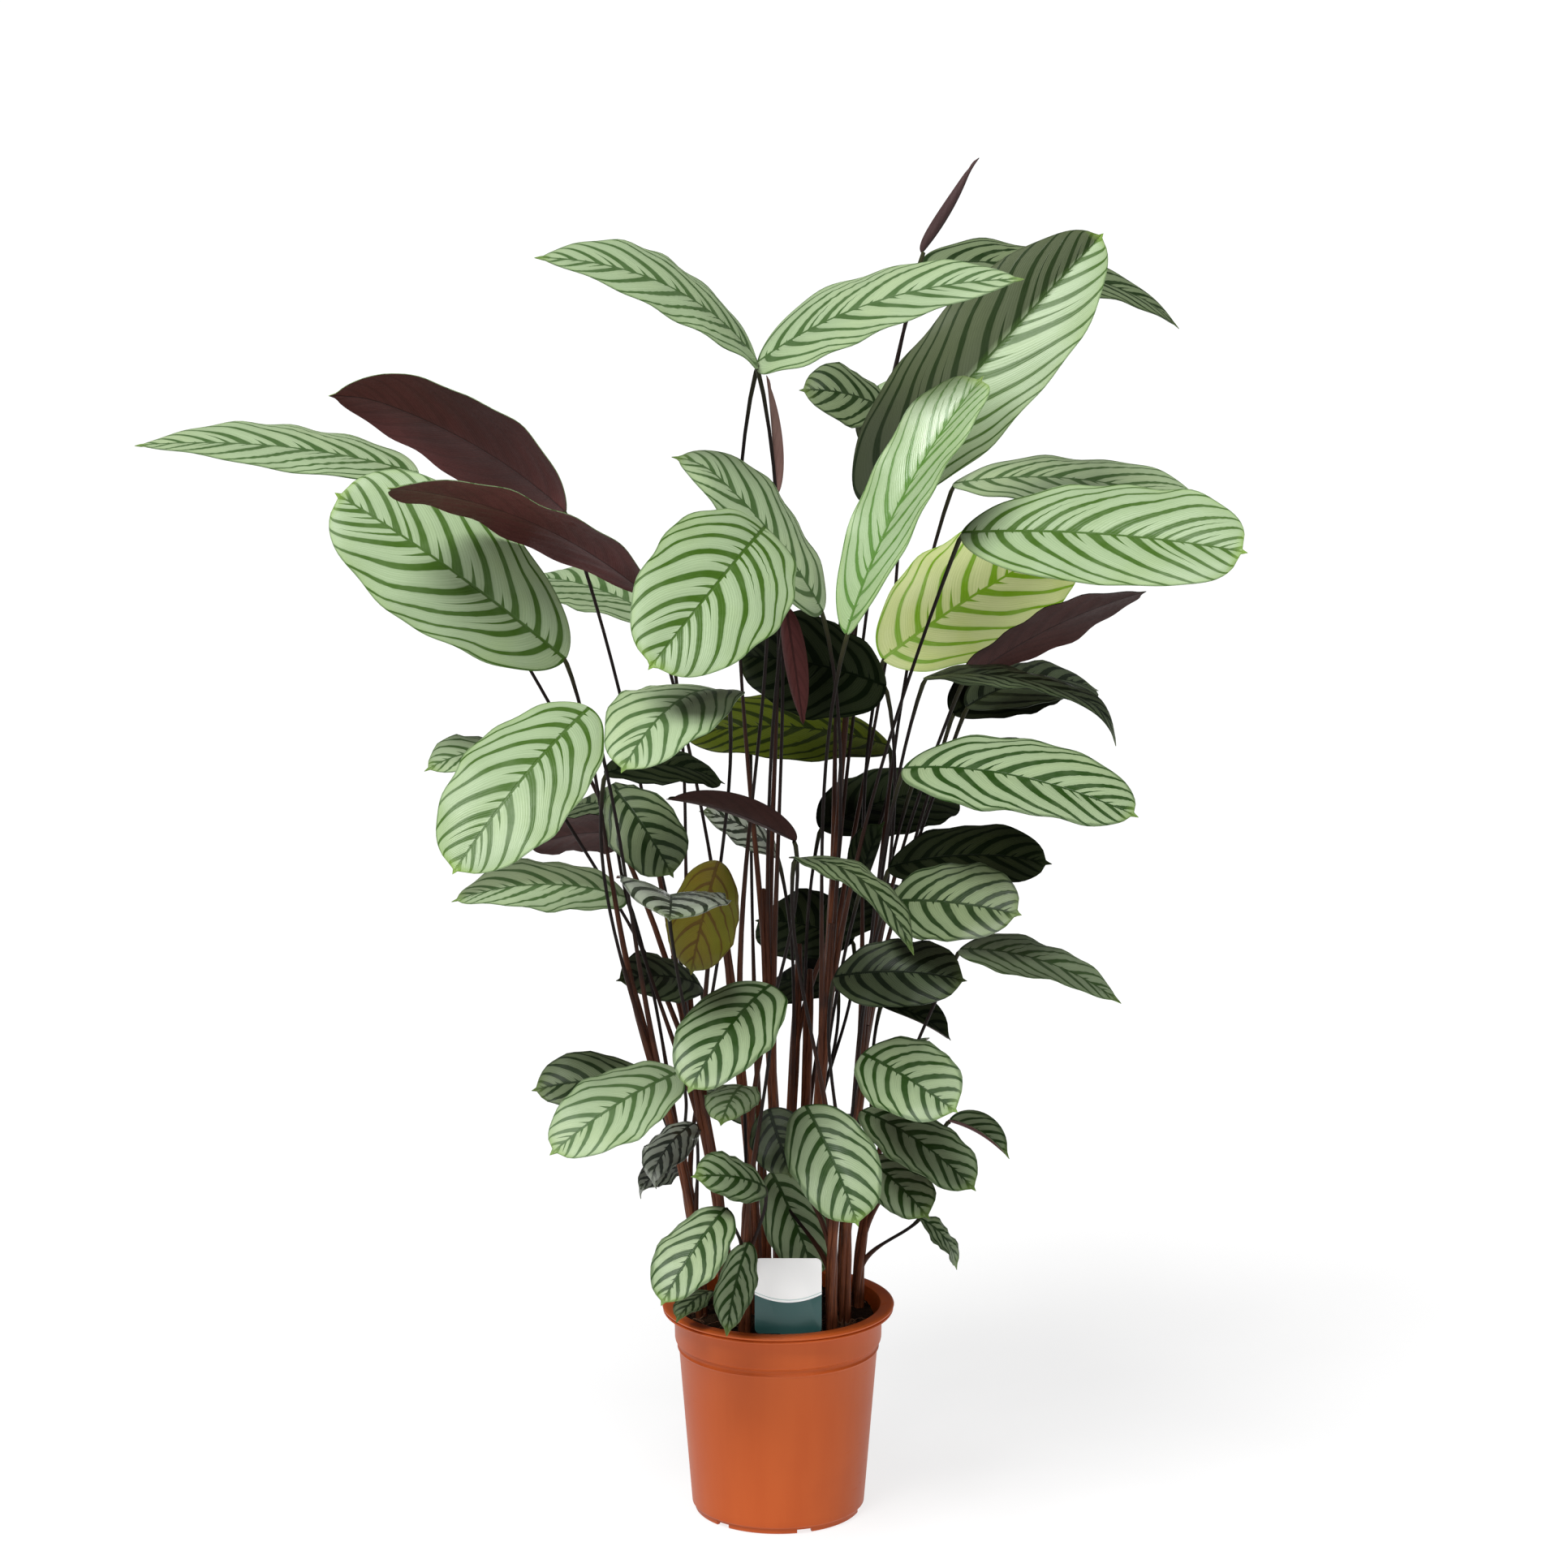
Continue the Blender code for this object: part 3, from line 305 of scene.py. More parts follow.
                 0.034, (0.75, -0.35, 0.55), 0.15, Tone.BROAD),
    ]),
]


class Signal:
    """A shader socket that Python arithmetic works on."""

    def __init__(self, graph: "Graph", socket: Any) -> None:
        """Keeps the socket and the graph it belongs to.

        Args:
            graph: The graph that new nodes are added to.
            socket: The output socket, or a plain number.
        """
        self.graph = graph
        self.socket = socket

    def calculate(self, operation: str, *others: Any) -> "Signal":
        """Adds one Math node.

        Args:
            operation: The Math node's operation.
            others: The other operands.

        Returns:
            The node's result.
        """
        inputs = dict(enumerate((self, *others)))
        return self.graph.node("Math", {"operation": operation}, inputs)

    def __add__(self, other: Any) -> "Signal":
        """This plus the other."""
        return self.calculate("ADD", other)

    __radd__ = __add__

    def __sub__(self, other: Any) -> "Signal":
        """This less the other."""
        return self.calculate("SUBTRACT", other)

    def __rsub__(self, other: Any) -> "Signal":
        """The other less this."""
        return Signal(self.graph, other).calculate("SUBTRACT", self)

    def __mul__(self, other: Any) -> "Signal":
        """This times the other."""
        return self.calculate("MULTIPLY", other)

    __rmul__ = __mul__

    def __truediv__(self, other: Any) -> "Signal":
        """This over the other."""
        return self.calculate("DIVIDE", other)

    def absolute(self) -> "Signal":
        """The value without its sign."""
        return self.calculate("ABSOLUTE")

    def distance_to_whole(self) -> "Signal":
        """How far the value is from its nearest whole number, from 0 to 0.5."""
        return ((self + 0.5).calculate("FRACT") - 0.5).absolute()

    def step(self, low: float, high: float) -> "Signal":
        """A smooth step.

        Args:
            low: Where the step starts.
            high: Where it ends. If it is lower than low, the step goes down.

        Returns:
            0 before low and 1 after high.
        """
        return self.graph.node("MapRange", {"interpolation_type": "SMOOTHSTEP"},
                               {"Value": self, "From Min": low, "From Max": high})


class Graph:
    """The nodes of one material, built from Python expressions."""

    def __init__(self, name: str) -> None:
        """Starts an empty material.

        Args:
            name: The material's name.
        """
        self.material = bpy.data.materials.new(name)
        self.material.use_nodes = True
        self.tree = self.material.node_tree
        self.shader = self.tree.nodes["Principled BSDF"]

    def put(self, socket: Any, value: Any) -> None:
        """Sets an input socket to a value, or links it.

        Args:
            socket: The input socket.
            value: A Signal, a number, a colour or a vector.
        """
        if isinstance(value, Signal):
            value = value.socket
        if isinstance(value, bpy.types.NodeSocket):
            self.tree.links.new(value, socket)
        elif isinstance(value, tuple) and socket.type == "RGBA":
            socket.default_value = (*value, 1)
        else:
            socket.default_value = value

    def node(self, kind: str, settings: dict, inputs: dict, output: Any = 0) -> Signal:
        """Adds a node.

        Args:
            kind: The node's type, without its ShaderNode prefix.
            settings: Its properties, which are set first.
            inputs: The values or links of its sockets, by name or place.
            output: The socket that is wanted, by name or place.

        Returns:
            That socket's signal.
        """
        made = self.tree.nodes.new("ShaderNode" + kind)
        for setting, value in settings.items():
            setattr(made, setting, value)
        for name, value in inputs.items():
            self.put(made.inputs[name], value)
        return Signal(self, made.outputs[output])

    def attribute(self, name: str) -> Signal:
        """The piece's own attribute of that name."""
        return self.node("Attribute", {"attribute_name": name}, {}, "Fac")

    def place(self) -> Signal:
        """Object coordinates."""
        return self.node("TexCoord", {}, {}, "Object")

    def axes(self, vector: Signal) -> list[Signal]:
        """The three parts of a vector."""
        parts = self.node("SeparateXYZ", {}, {0: vector}).socket.node.outputs
        return [Signal(self, part) for part in parts]

    def chart(self) -> list[Signal]:
        """The piece's own UV map, along and across, and a third part that is nothing."""
        return self.axes(self.node("UVMap", {"uv_map": UV_MAP}, {}))

    def noise(self, scale: float, detail: float = 3.0) -> Signal:
        """Soft noise from 0 to 1, about 0.5.

        Args:
            scale: Its fineness, in waves a metre.
            detail: Its octaves.

        Returns:
            The noise.
        """
        inputs = {"Vector": self.place(), "Scale": scale, "Detail": detail}
        return self.node("TexNoise", {}, inputs)

    def drawn_noise(self, scale: Point) -> Signal:
        """Soft noise that is drawn out: its fineness is given along each axis, in waves a metre."""
        drawn = self.node("Mapping", {}, {"Vector": self.place(), "Scale": scale})
        return self.node("TexNoise", {}, {"Vector": drawn, "Scale": 1.0, "Detail": 4.0})

    def streaks(self, along: Signal, across: Signal) -> Signal:
        """Soft noise over two signals, as streaks along the one that changes less."""
        chart = self.node("CombineXYZ", {}, {0: along, 1: across})
        return self.node("TexNoise", {"noise_dimensions": "2D"},
                         {"Vector": chart, "Scale": 2.0, "Detail": 3.0})

    def mix(self, factor: Any, first: Any, second: Any) -> Signal:
        """A colour between two.

        Args:
            factor: 0 for the first, 1 for the second.
            first: A colour or its signal.
            second: The other.

        Returns:
            The mixed colour.
        """
        return self.node("Mix", {"data_type": "RGBA"}, {0: factor, 6: first, 7: second}, 2)

    def layers(self, ground: Any, *coats: tuple[Any, Any]) -> Any:
        """A ground colour with coats of other colours over it.

        Args:
            ground: The ground colour.
            coats: Each coat's mask and colour, from the lowest up.

        Returns:
            The colour that shows.
        """
        colour = ground
        for mask, coat in coats:
            colour = self.mix(mask, colour, coat)
        return colour

    def bump(self, height: Any, distance: float, strength: float = 1.0) -> Signal:
        """A normal from a height.

        Args:
            height: The height, about 0 to 1.
            distance: How deep it is, in metres.
            strength: How much of it shows.

        Returns:
            The normal.
        """
        return self.node("Bump", {}, {"Height": height, "Distance": distance, "Strength": strength})

    def surface(self, **inputs: Any) -> bpy.types.Material:
        """Sets the shader's sockets.

        Args:
            inputs: Values by socket name, with _ for a space.

        Returns:
            The finished material.
        """
        for name, value in inputs.items():
            self.put(self.shader.inputs[name.replace("_", " ")], value)
        return self.material


def blend(first: Colour, second: Colour, share: float) -> Colour:
    """The colour that is this share of the way from the first to the second."""
    return tuple((1 - share) * one + share * other for one, other in zip(first, second))


def times(colour: Colour, factors: Colour) -> Colour:
    """The colour with each of its channels times its own factor."""
    return tuple(channel * factor for channel, factor in zip(colour, factors))


@dataclass(frozen=True)
class LeafFinish:
    """The colours of one tone of leaf, over and under, and its stripes.

    A stripe's sizes are shares of the way from one side vein to the next, and border is in metres.
    """

    light: Colour
    patch: Colour
    bar: Colour
    under: Colour
    under_dark: Colour
    bar_half: float = 0.145
    bar_jitter: float = 0.22
    bar_flare: float = 0.04
    bar_swelling: float = 0.09
    bar_taper: float = 0.045
    spur: float = 0.50
    spur_least: float = 0.07
    spur_half: float = 0.085
    border: float = 0.0012
    tip: Colour = (0.180, 0.290, 0.060)
    unlit: Colour = (0.13, 0.12, 0.08)
    unlit_bar: Colour = (0.16, 0.16, 0.16)
    roughness: float = 0.42
    sheen: float = 0.06
    shine: float = 0.26
    # Painted light: an emission that stands in for light shining through a leaf.
    glow: float = 0.0

    def bars(self, graph: Graph) -> tuple[Signal, Signal, Signal, Signal]:
        """The stripes that follow the side veins.

        Args:
            graph: The material's graph.

        Returns:
            The dark stripes from 0 to 1, their soft surroundings, the veins' phase, and the share of
            the way to the margin.
        """
        _, side, _ = graph.chart()
        across = (side * 2 - 1).absolute()
        right = side.calculate("GREATER_THAN", 0.5)
        unevenness = (graph.noise(13.0, 1.0) - 0.5) * self.bar_jitter
        phase = graph.attribute("vein") + right * RIGHT_LAG + unevenness
        number = phase.calculate("FLOOR") + right * RIGHT_NUMBERS
        flare = across.step(0.16, 0.0) * self.bar_flare
        swelling = (graph.noise(34.0, 2.0) - 0.5) * self.bar_swelling
        taper = across.step(0.35, 1.0) * self.bar_taper
        away = phase.distance_to_whole()
        inside = flare + swelling + self.bar_half - taper - away
        chance = graph.node("TexWhiteNoise", {"noise_dimensions": "1D"}, {"W": number})
        reach = chance * chance * self.spur + self.spur_least
        spur = ((1 - across / reach) * self.spur_half - (0.5 - away)).step(-0.006, 0.016)
        dark = inside.step(-0.020, 0.024).calculate("MAXIMUM", spur)
        return dark, inside.step(-0.20, 0.02), phase, across

    def upper(self, name: str) -> bpy.types.Material:
        """The striped upper side.

        Args:
            name: The material's name.

        Returns:
            The material.
        """
        graph = Graph(name + "_upper")
        dark, halo, phase, across = self.bars(graph)
        rib = graph.attribute("rib").step(0.0016, 0.0008)
        edge = graph.attribute("edge")
        margin = (edge - graph.noise(90.0, 2.0) * self.border).step(self.border * 1.1, self.border * 0.1)
        furrow = (phase * FINE_VEINS).distance_to_whole() * 2
        grain = graph.noise(420.0, 2.0)
        streak = graph.streaks(phase * 9.0, across * 1.1)
        greener = blend(self.light, self.bar, 0.38)
        paler = tuple(min(1.0, 1.10 * channel + 0.03) for channel in self.light)
        ground = graph.layers(
            self.light,
            (graph.noise(14.0).step(0.42, 0.72), self.patch),
            (streak.step(0.35, 0.75) * 0.42, greener),
            (halo * 0.42, greener),
            (graph.attribute("tint") * 0.35, greener),
            (furrow * grain * 0.45, greener),
            ((1 - furrow).step(0.75, 1.0) * (1 - halo) * 0.35, paler),
            (edge.step(0.0075, 0.0005) * 0.55, blend(self.light, self.tip, 0.45)),
            (margin * 0.85, blend(self.bar, self.light, 0.28)))
        ink = graph.mix(graph.noise(60.0, 2.0).step(0.35, 0.75) * 0.5,
                        self.bar, blend(self.bar, self.light, 0.16))
        drawn = dark.calculate("MAXIMUM", rib)
        unlit = graph.mix(drawn, times(self.light, self.unlit), times(self.bar, self.unlit_bar))
        colour = graph.layers(ground, (drawn, ink), (graph.attribute("shade"), unlit),
                              (graph.attribute("end"), self.tip))
        relief = furrow * 0.3 + dark * 0.5 + rib * -0.9 + grain * 0.15
        return graph.surface(
            Base_Color=colour, Roughness=grain * 0.16 + (self.roughness - 0.08),
            Specular_IOR_Level=self.shine, Coat_Weight=self.sheen, Coat_Roughness=0.24,
            # Painted light: the glow of leaves that are lit from behind.
            Emission_Color=colour, Emission_Strength=self.glow,
            Normal=graph.bump(relief, 0.0005, 0.8))

    def lower(self, name: str) -> bpy.types.Material:
        """The maroon underside.

        Args:
            name: The material's name.

        Returns:
            The material.
        """
        graph = Graph(name + "_under")
        dark, _, phase, _ = self.bars(graph)
        furrow = (phase * FINE_VEINS).distance_to_whole() * 2
        rib = graph.attribute("rib").step(0.0013, 0.0005)
        grain = graph.noise(380.0, 2.0)
        colour = graph.layers(
            self.under,
            (graph.noise(9.0).step(0.3, 0.7), self.under_dark),
            (dark * 0.22 + furrow * grain * 0.35, blend(BLACK, self.under_dark, 0.6)),
            (rib * 0.75, blend(BLACK, self.under_dark, 0.5)))
        return graph.surface(
            Base_Color=colour, Roughness=grain * 0.2 + 0.44, Specular_IOR_Level=0.12,
            Normal=graph.bump(furrow * 0.4 + rib * 1.2 + grain * 0.2, 0.0004, 0.6))


PURPLE = {"under": (0.110, 0.032, 0.030), "under_dark": (0.055, 0.016, 0.014)}
# Painted shade: darker undersides for the leaves that lie in deep shade.
DIM = {"under": (0.060, 0.021, 0.018), "under_dark": (0.028, 0.011, 0.009)}
LEAF_FINISHES = {
    Tone.SILVER: LeafFinish((0.365, 0.470, 0.280), (0.395, 0.495, 0.275), (0.058, 0.118, 0.032),
                            **PURPLE),
    Tone.BRIGHT: LeafFinish((0.350, 0.455, 0.270), (0.325, 0.435, 0.215), (0.044, 0.108, 0.008),
                            spur=0.75, tip=(0.200, 0.340, 0.040), **PURPLE),
    Tone.YOUNG: LeafFinish((0.350, 0.465, 0.265), (0.325, 0.450, 0.215), (0.085, 0.200, 0.032),
                           bar_half=0.115, roughness=0.30, sheen=0.4, shine=0.4,
                           tip=(0.340, 0.520, 0.100), **PURPLE),
    # Broader bars and margin, which are real, and a darker ground and bars as painted shade for the lower
    # leaves under the others.
    Tone.BROAD: LeafFinish((0.290, 0.375, 0.215), (0.310, 0.395, 0.210), (0.014, 0.048, 0.003),
                           bar_half=0.170, spur=0.30, border=0.0028, **PURPLE),
    Tone.SHADED: LeafFinish((0.160, 0.210, 0.110), (0.175, 0.225, 0.110), (0.009, 0.026, 0.003),
                            bar_half=0.170, spur=0.30, border=0.0022, tip=(0.110, 0.170, 0.036),
                            **PURPLE),
    # Painted light: the pale yellow-green ground and the glow stand in for light shining through the leaf
    # from behind.
    Tone.BACKLIT: LeafFinish((0.560, 0.610, 0.280), (0.470, 0.535, 0.165), (0.145, 0.300, 0.003),
                             bar_half=0.13, spur=0.35, glow=0.28, **PURPLE),
    # Painted shade: an olive leaf colour darkened for a backlit leaf that lies in shade.
    Tone.OLIVE: LeafFinish((0.070, 0.092, 0.004), (0.056, 0.078, 0.004), (0.010, 0.018, 0.001),
                           bar_half=0.16, spur=0.20, shine=0.12, sheen=0.02,
                           tip=(0.110, 0.150, 0.010), **PURPLE),
    # Painted shade: a darkened copy of the leaf colour, tip included, for leaves that lie among others.
    Tone.DEEP: LeafFinish((0.080, 0.108, 0.056), (0.092, 0.118, 0.056), (0.005, 0.013, 0.003),
                          bar_half=0.18, roughness=0.38, sheen=0.08, tip=(0.080, 0.120, 0.030),
                          **PURPLE),
    # Painted shade: a near-black copy of the leaf colour, tip included, for leaves in the plant's shaded
    # middle.
    Tone.DARK: LeafFinish((0.014, 0.020, 0.008), (0.018, 0.024, 0.008), (0.002, 0.005, 0.001),
                          bar_half=0.18, roughness=0.46, sheen=0.0, shine=0.05,
                          tip=(0.018, 0.030, 0.008), **DIM),
    # Real gloss plus a painted highlight: the pale grey ground stands in for the sheen that these shaded
    # glossy leaves show.
    Tone.GLOSSY: LeafFinish((0.360, 0.400, 0.320), (0.230, 0.290, 0.180), (0.006, 0.016, 0.004),
                            bar_half=0.20, border=0.0022, roughness=0.16, sheen=1.0, shine=0.5,
                            tip=(0.090, 0.130, 0.040), **DIM),
    Tone.FADING: LeafFinish((0.120, 0.118, 0.008), (0.150, 0.085, 0.008), (0.080, 0.044, 0.006),
                            (0.160, 0.085, 0.016), (0.080, 0.035, 0.010), bar_half=0.10, spur=0.1,
                            shine=0.15, tip=(0.120, 0.130, 0.020)),
    Tone.ROLLED: LeafFinish((0.380, 0.240, 0.200), (0.420, 0.280, 0.230), (0.260, 0.150, 0.130),
                            (0.400, 0.250, 0.215), (0.260, 0.145, 0.125), bar_half=0.09, spur=0.1),
    Tone.SPEAR: LeafFinish((0.090, 0.092, 0.062), (0.066, 0.074, 0.048), (0.025, 0.029, 0.020),
                           (0.085, 0.048, 0.046), (0.045, 0.024, 0.024), bar_half=0.12, spur=0.1),
}


@dataclass(frozen=True)
class StalkFinish:
    """Reddish-brown sheaths that turn into near-black wiry stalks."""

    sheath: Colour = (0.080, 0.020, 0.008)
    sheath_light: Colour = (0.205, 0.064, 0.024)
    wire: Colour = (0.010, 0.005, 0.004)
    green: Colour = (0.095, 0.115, 0.035)

    def material(self) -> bpy.types.Material:
        """The material, graded by the attributes wire and knee."""
        graph = Graph("stalks")
        along, around, _ = graph.chart()
        fibres = graph.streaks(along * 2.0, around * 16.0)
        patches = graph.noise(45.0)
        colour = graph.layers(
            self.sheath,
            (fibres.step(0.35, 0.7), self.sheath_light),
            (patches.step(0.5, 0.8) * 0.6, self.wire),
            (graph.attribute("wire"), self.wire),
            (graph.attribute("knee") * (0.25 + patches * 0.8), self.green))
        return graph.surface(Base_Color=colour, Roughness=fibres * 0.2 + 0.38,
                             Specular_IOR_Level=0.16,
                             Normal=graph.bump(fibres + patches * 0.4, 0.0005, 0.7))


@dataclass(frozen=True)
class PlasticFinish:
    """Terracotta-coloured moulded plastic, satin, with faint flow marks and scuffs, a painted highlight
    on the lip, and darker towards the bottom.
    """

    body: Colour = (0.480, 0.084, 0.012)
    pale: Colour = (0.560, 0.112, 0.020)
    deep: Colour = (0.360, 0.052, 0.008)
    lip_highlight_foot: float = 0.1865
    lip_highlight_top: float = 0.1915
    darkening_top: float = 0.016

    def material(self) -> bpy.types.Material:
        """The material."""
        graph = Graph("terracotta_plastic")
        _, _, height = graph.axes(graph.place())
        flow = graph.drawn_noise((40.0, 40.0, 4.0))
        scuff = graph.drawn_noise((60.0, 60.0, 420.0))
        speck = graph.noise(900.0, 2.0)
        cloud = graph.noise(12.0)
        colour = graph.layers(
            self.body,
            (flow.step(0.35, 0.7) * 0.35, self.pale),
            (cloud.step(0.5, 0.8) * 0.25, self.deep),
            (speck.step(0.66, 0.78) * 0.25, self.deep),
            # Painted highlight: the rolled lip is made paler.
            (height.step(self.lip_highlight_foot, self.lip_highlight_top) * 0.55, self.pale),
            # Darker towards the bottom, in clouds.
            (height.step(self.darkening_top, 0.0) * cloud * 0.5, self.deep))
        marks = scuff.step(0.64, 0.72) * 0.10
        return graph.surface(Base_Color=colour, Roughness=marks + speck * 0.12 + 0.38,
                             Specular_IOR_Level=0.25,
                             Normal=graph.bump(speck * 0.3 + flow * 0.7, 0.0003, 0.5))


@dataclass(frozen=True)
class PeatFinish:
    """Damp, near-black peat."""

    wet: Colour = (0.014, 0.007, 0.003)
    dry: Colour = (0.070, 0.036, 0.018)

    def material(self) -> bpy.types.Material:
        """The material."""
        graph = Graph("peat")
        crumbs = graph.node("TexVoronoi", {}, {"Vector": graph.place(), "Scale": 420.0})
        fine = graph.noise(900.0, 4.0)
        colour = graph.mix(graph.noise(60.0).step(0.4, 0.7) * fine, self.wet, self.dry)
        return graph.surface(Base_Color=colour, Roughness=fine * 0.25 + 0.7,
                             Specular_IOR_Level=0.10, Normal=graph.bump(crumbs + fine, 0.0012))


@dataclass(frozen=True)
class FibreFinish:
    """Brown roots and peat fibres."""

    dark: Colour = (0.055, 0.024, 0.012)
    pale: Colour = (0.22, 0.105, 0.05)

    def material(self) -> bpy.types.Material:
        """The material."""
        graph = Graph("fibre")
        cloud = graph.noise(120.0)
        colour = graph.mix(cloud.step(0.35, 0.65), self.dark, self.pale)
        return graph.surface(Base_Color=colour, Roughness=cloud * 0.2 + 0.6,
                             Normal=graph.bump(graph.noise(1500.0, 2.0), 0.0003, 0.6))


@dataclass(frozen=True)
class CardFinish:
    """A white plant label with a dark teal foot under a pale arc, and no print."""

    white: Colour = (0.92, 0.92, 0.91)
    white_speck: Colour = (0.60, 0.62, 0.60)
    teal: Colour = (0.020, 0.075, 0.070)
    teal_speck: Colour = (0.03, 0.10, 0.10)
    line: Colour = (0.40, 0.52, 0.50)
    split: float = 0.218
    split_blur: float = 0.0002
    rise: float = 8.3
    middle: float = 0.009
    band: float = 0.0022
    line_outer: float = 0.0006
    line_inner: float = 0.0004

    def material(self) -> bpy.types.Material:
        """The material."""
        graph = Graph("label_card")
        across, _, height = graph.axes(graph.place())
        aside = across - self.middle
        height = height - aside * aside * self.rise
        teal = height.step(self.split + self.split_blur, self.split - self.split_blur)
        line = (height - (self.split + self.band)).absolute().step(self.line_outer, self.line_inner)
        speck = graph.noise(1600.0, 2.0)
        white = graph.mix(speck * 0.12, self.white, self.white_speck)
        foot = graph.mix(speck * 0.3, self.teal, self.teal_speck)
        colour = graph.layers(white, (teal, foot), (line * 0.8, self.line))
        # Painted light: the card glows faintly so that it stays white in the leaves' shade.
        return graph.surface(Base_Color=colour, Roughness=speck * 0.1 + 0.32,
                             Coat_Weight=0.2, Emission_Color=colour, Emission_Strength=0.25,
                             Normal=graph.bump(speck, 0.0001, 0.3))


@dataclass(frozen=True)
class FloorFinish:
    """A plain pale studio floor."""

    pale: Colour = (0.20, 0.20, 0.20)
    darkening: float = 0.015
    glow: float = 0.80

    def material(self) -> bpy.types.Material:
        """The material."""
        graph = Graph("studio_floor")
        cloud = graph.noise(2.0, 2.0)
        colour = graph.mix(cloud * 0.3, self.pale, blend(self.pale, BLACK, self.darkening))
        return graph.surface(Base_Color=colour, Roughness=cloud * 0.1 + 0.85,
                             Emission_Color=(1.0, 1.0, 1.0), Emission_Strength=self.glow)


def unit(vector: Any) -> np.ndarray:
    """The vector, or each row of vectors, at length one."""
    vector = np.asarray(vector, float)
    return vector / np.linalg.norm(vector, axis=-1, keepdims=True)


def ramp(value: np.ndarray, start: float, end: float) -> np.ndarray:
    """How far the value has come from start, where it is 0, to end, where it is 1."""
    return np.clip((value - start) / (end - start), 0, 1)


def with_caps(line: np.ndarray) -> np.ndarray:
    """The line with its first and its last entry twice, the outer ones for a tube's caps."""
    return np.concatenate([line[:1], line, line[-1:]])


def seeded(name: str) -> np.random.Generator:
    """A random source of a piece's own, the same at each run."""
    return np.random.default_rng(zlib.crc32(name.encode()))


def deselect() -> None:
    """Leaves nothing selected."""
    bpy.ops.object.select_all(action="DESELECT")


def pick(thing: bpy.types.Object) -> None:
    """Selects only the thing and makes it active."""
    deselect()
    thing.select_set(True)
    bpy.context.view_layer.objects.active = thing


def edit(thing: bpy.types.Object, steps: Callable[[], Any]) -> None:
    """Runs operators on the whole of a mesh in edit mode.

    Args:
        thing: The object.
        steps: What to do there.
    """
    pick(thing)
    bpy.ops.object.mode_set(mode="EDIT")
    bpy.ops.mesh.select_all(action="SELECT")
    steps()
    bpy.ops.object.mode_set(mode="OBJECT")


def merge_doubles() -> None:
    """Merges the selected points that lie in one place."""
    bpy.ops.mesh.remove_doubles(threshold=0.000001)


def close_up(thing: bpy.types.Object) -> None:
    """Merges the doubles of a closed shell and turns its faces outwards."""
    edit(thing, merge_doubles)
    edit(thing, lambda: bpy.ops.mesh.normals_make_consistent(inside=False))


def apply_all(thing: bpy.types.Object) -> None:
    """Applies every modifier of the thing."""
    pick(thing)
    for modifier in list(thing.modifiers):
        bpy.ops.object.modifier_apply(modifier=modifier.name)


def join(name: str, parts: list[bpy.types.Object]) -> bpy.types.Object:
    """Joins the parts in one object.

    Args:
        name: Its name.
        parts: The objects, which must share no mesh.

    Returns:
        The joined object.
    """
    pick(parts[0])
    for part in parts:
        part.select_set(True)
    bpy.ops.object.join()
    parts[0].name = name
    return parts[0]


def settle(piece: bpy.types.Object, node: str, angle: float) -> None:
    """Shades a finished piece and fixes it to the frame.

    Args:
        piece: The piece.
        node: The CAD node that it stands for, alone or with others.
        angle: The sharpest angle that is shaded smooth, in degrees.
    """
    pick(piece)
    bpy.ops.object.transform_apply(location=True, rotation=True, scale=True)
    bpy.ops.object.shade_smooth_by_angle(angle=math.radians(angle))
    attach(piece, BODY)
    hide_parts(node)


def shaped_grid(name: str, points: np.ndarray, chart: np.ndarray,
                values: dict[str, np.ndarray]) -> bpy.types.Object:
    """A grid primitive whose points are moved to a given shape, with its UV map and attributes.

    Args:
        name: The object's name.
        points: Places, in rows along and columns across.
        chart: UV coordinates, in the same rows and columns.
        values: Attributes by name, each in the same rows and columns.

    Returns:
        The object.
    """
    rows, columns = points.shape[0] - 1, points.shape[1] - 1
    deselect()
    bpy.ops.mesh.primitive_grid_add(x_subdivisions=rows, y_subdivisions=columns, size=1)
    piece = bpy.context.object
    piece.name = name
    mesh = piece.data
    flat = np.zeros(len(mesh.vertices) * 3)
    mesh.vertices.foreach_get("co", flat)
    flat = flat.reshape(-1, 3)
    row = np.rint((flat[:, 0] + 0.5) * rows).astype(int)
    column = np.rint((flat[:, 1] + 0.5) * columns).astype(int)
    mesh.vertices.foreach_set("co", points[row, column].ravel())
    corners = np.zeros(len(mesh.loops), int)
    mesh.loops.foreach_get("vertex_index", corners)
    mesh.uv_layers[0].name = UV_MAP
    mesh.uv_layers[0].data.foreach_set("uv", chart[row, column][corners].ravel())
    for label, grid in values.items():
        layer = mesh.attributes.new(label, "FLOAT", "POINT")
        layer.data.foreach_set("value", grid[row, column].astype(np.float32))
    mesh.update()
    return piece


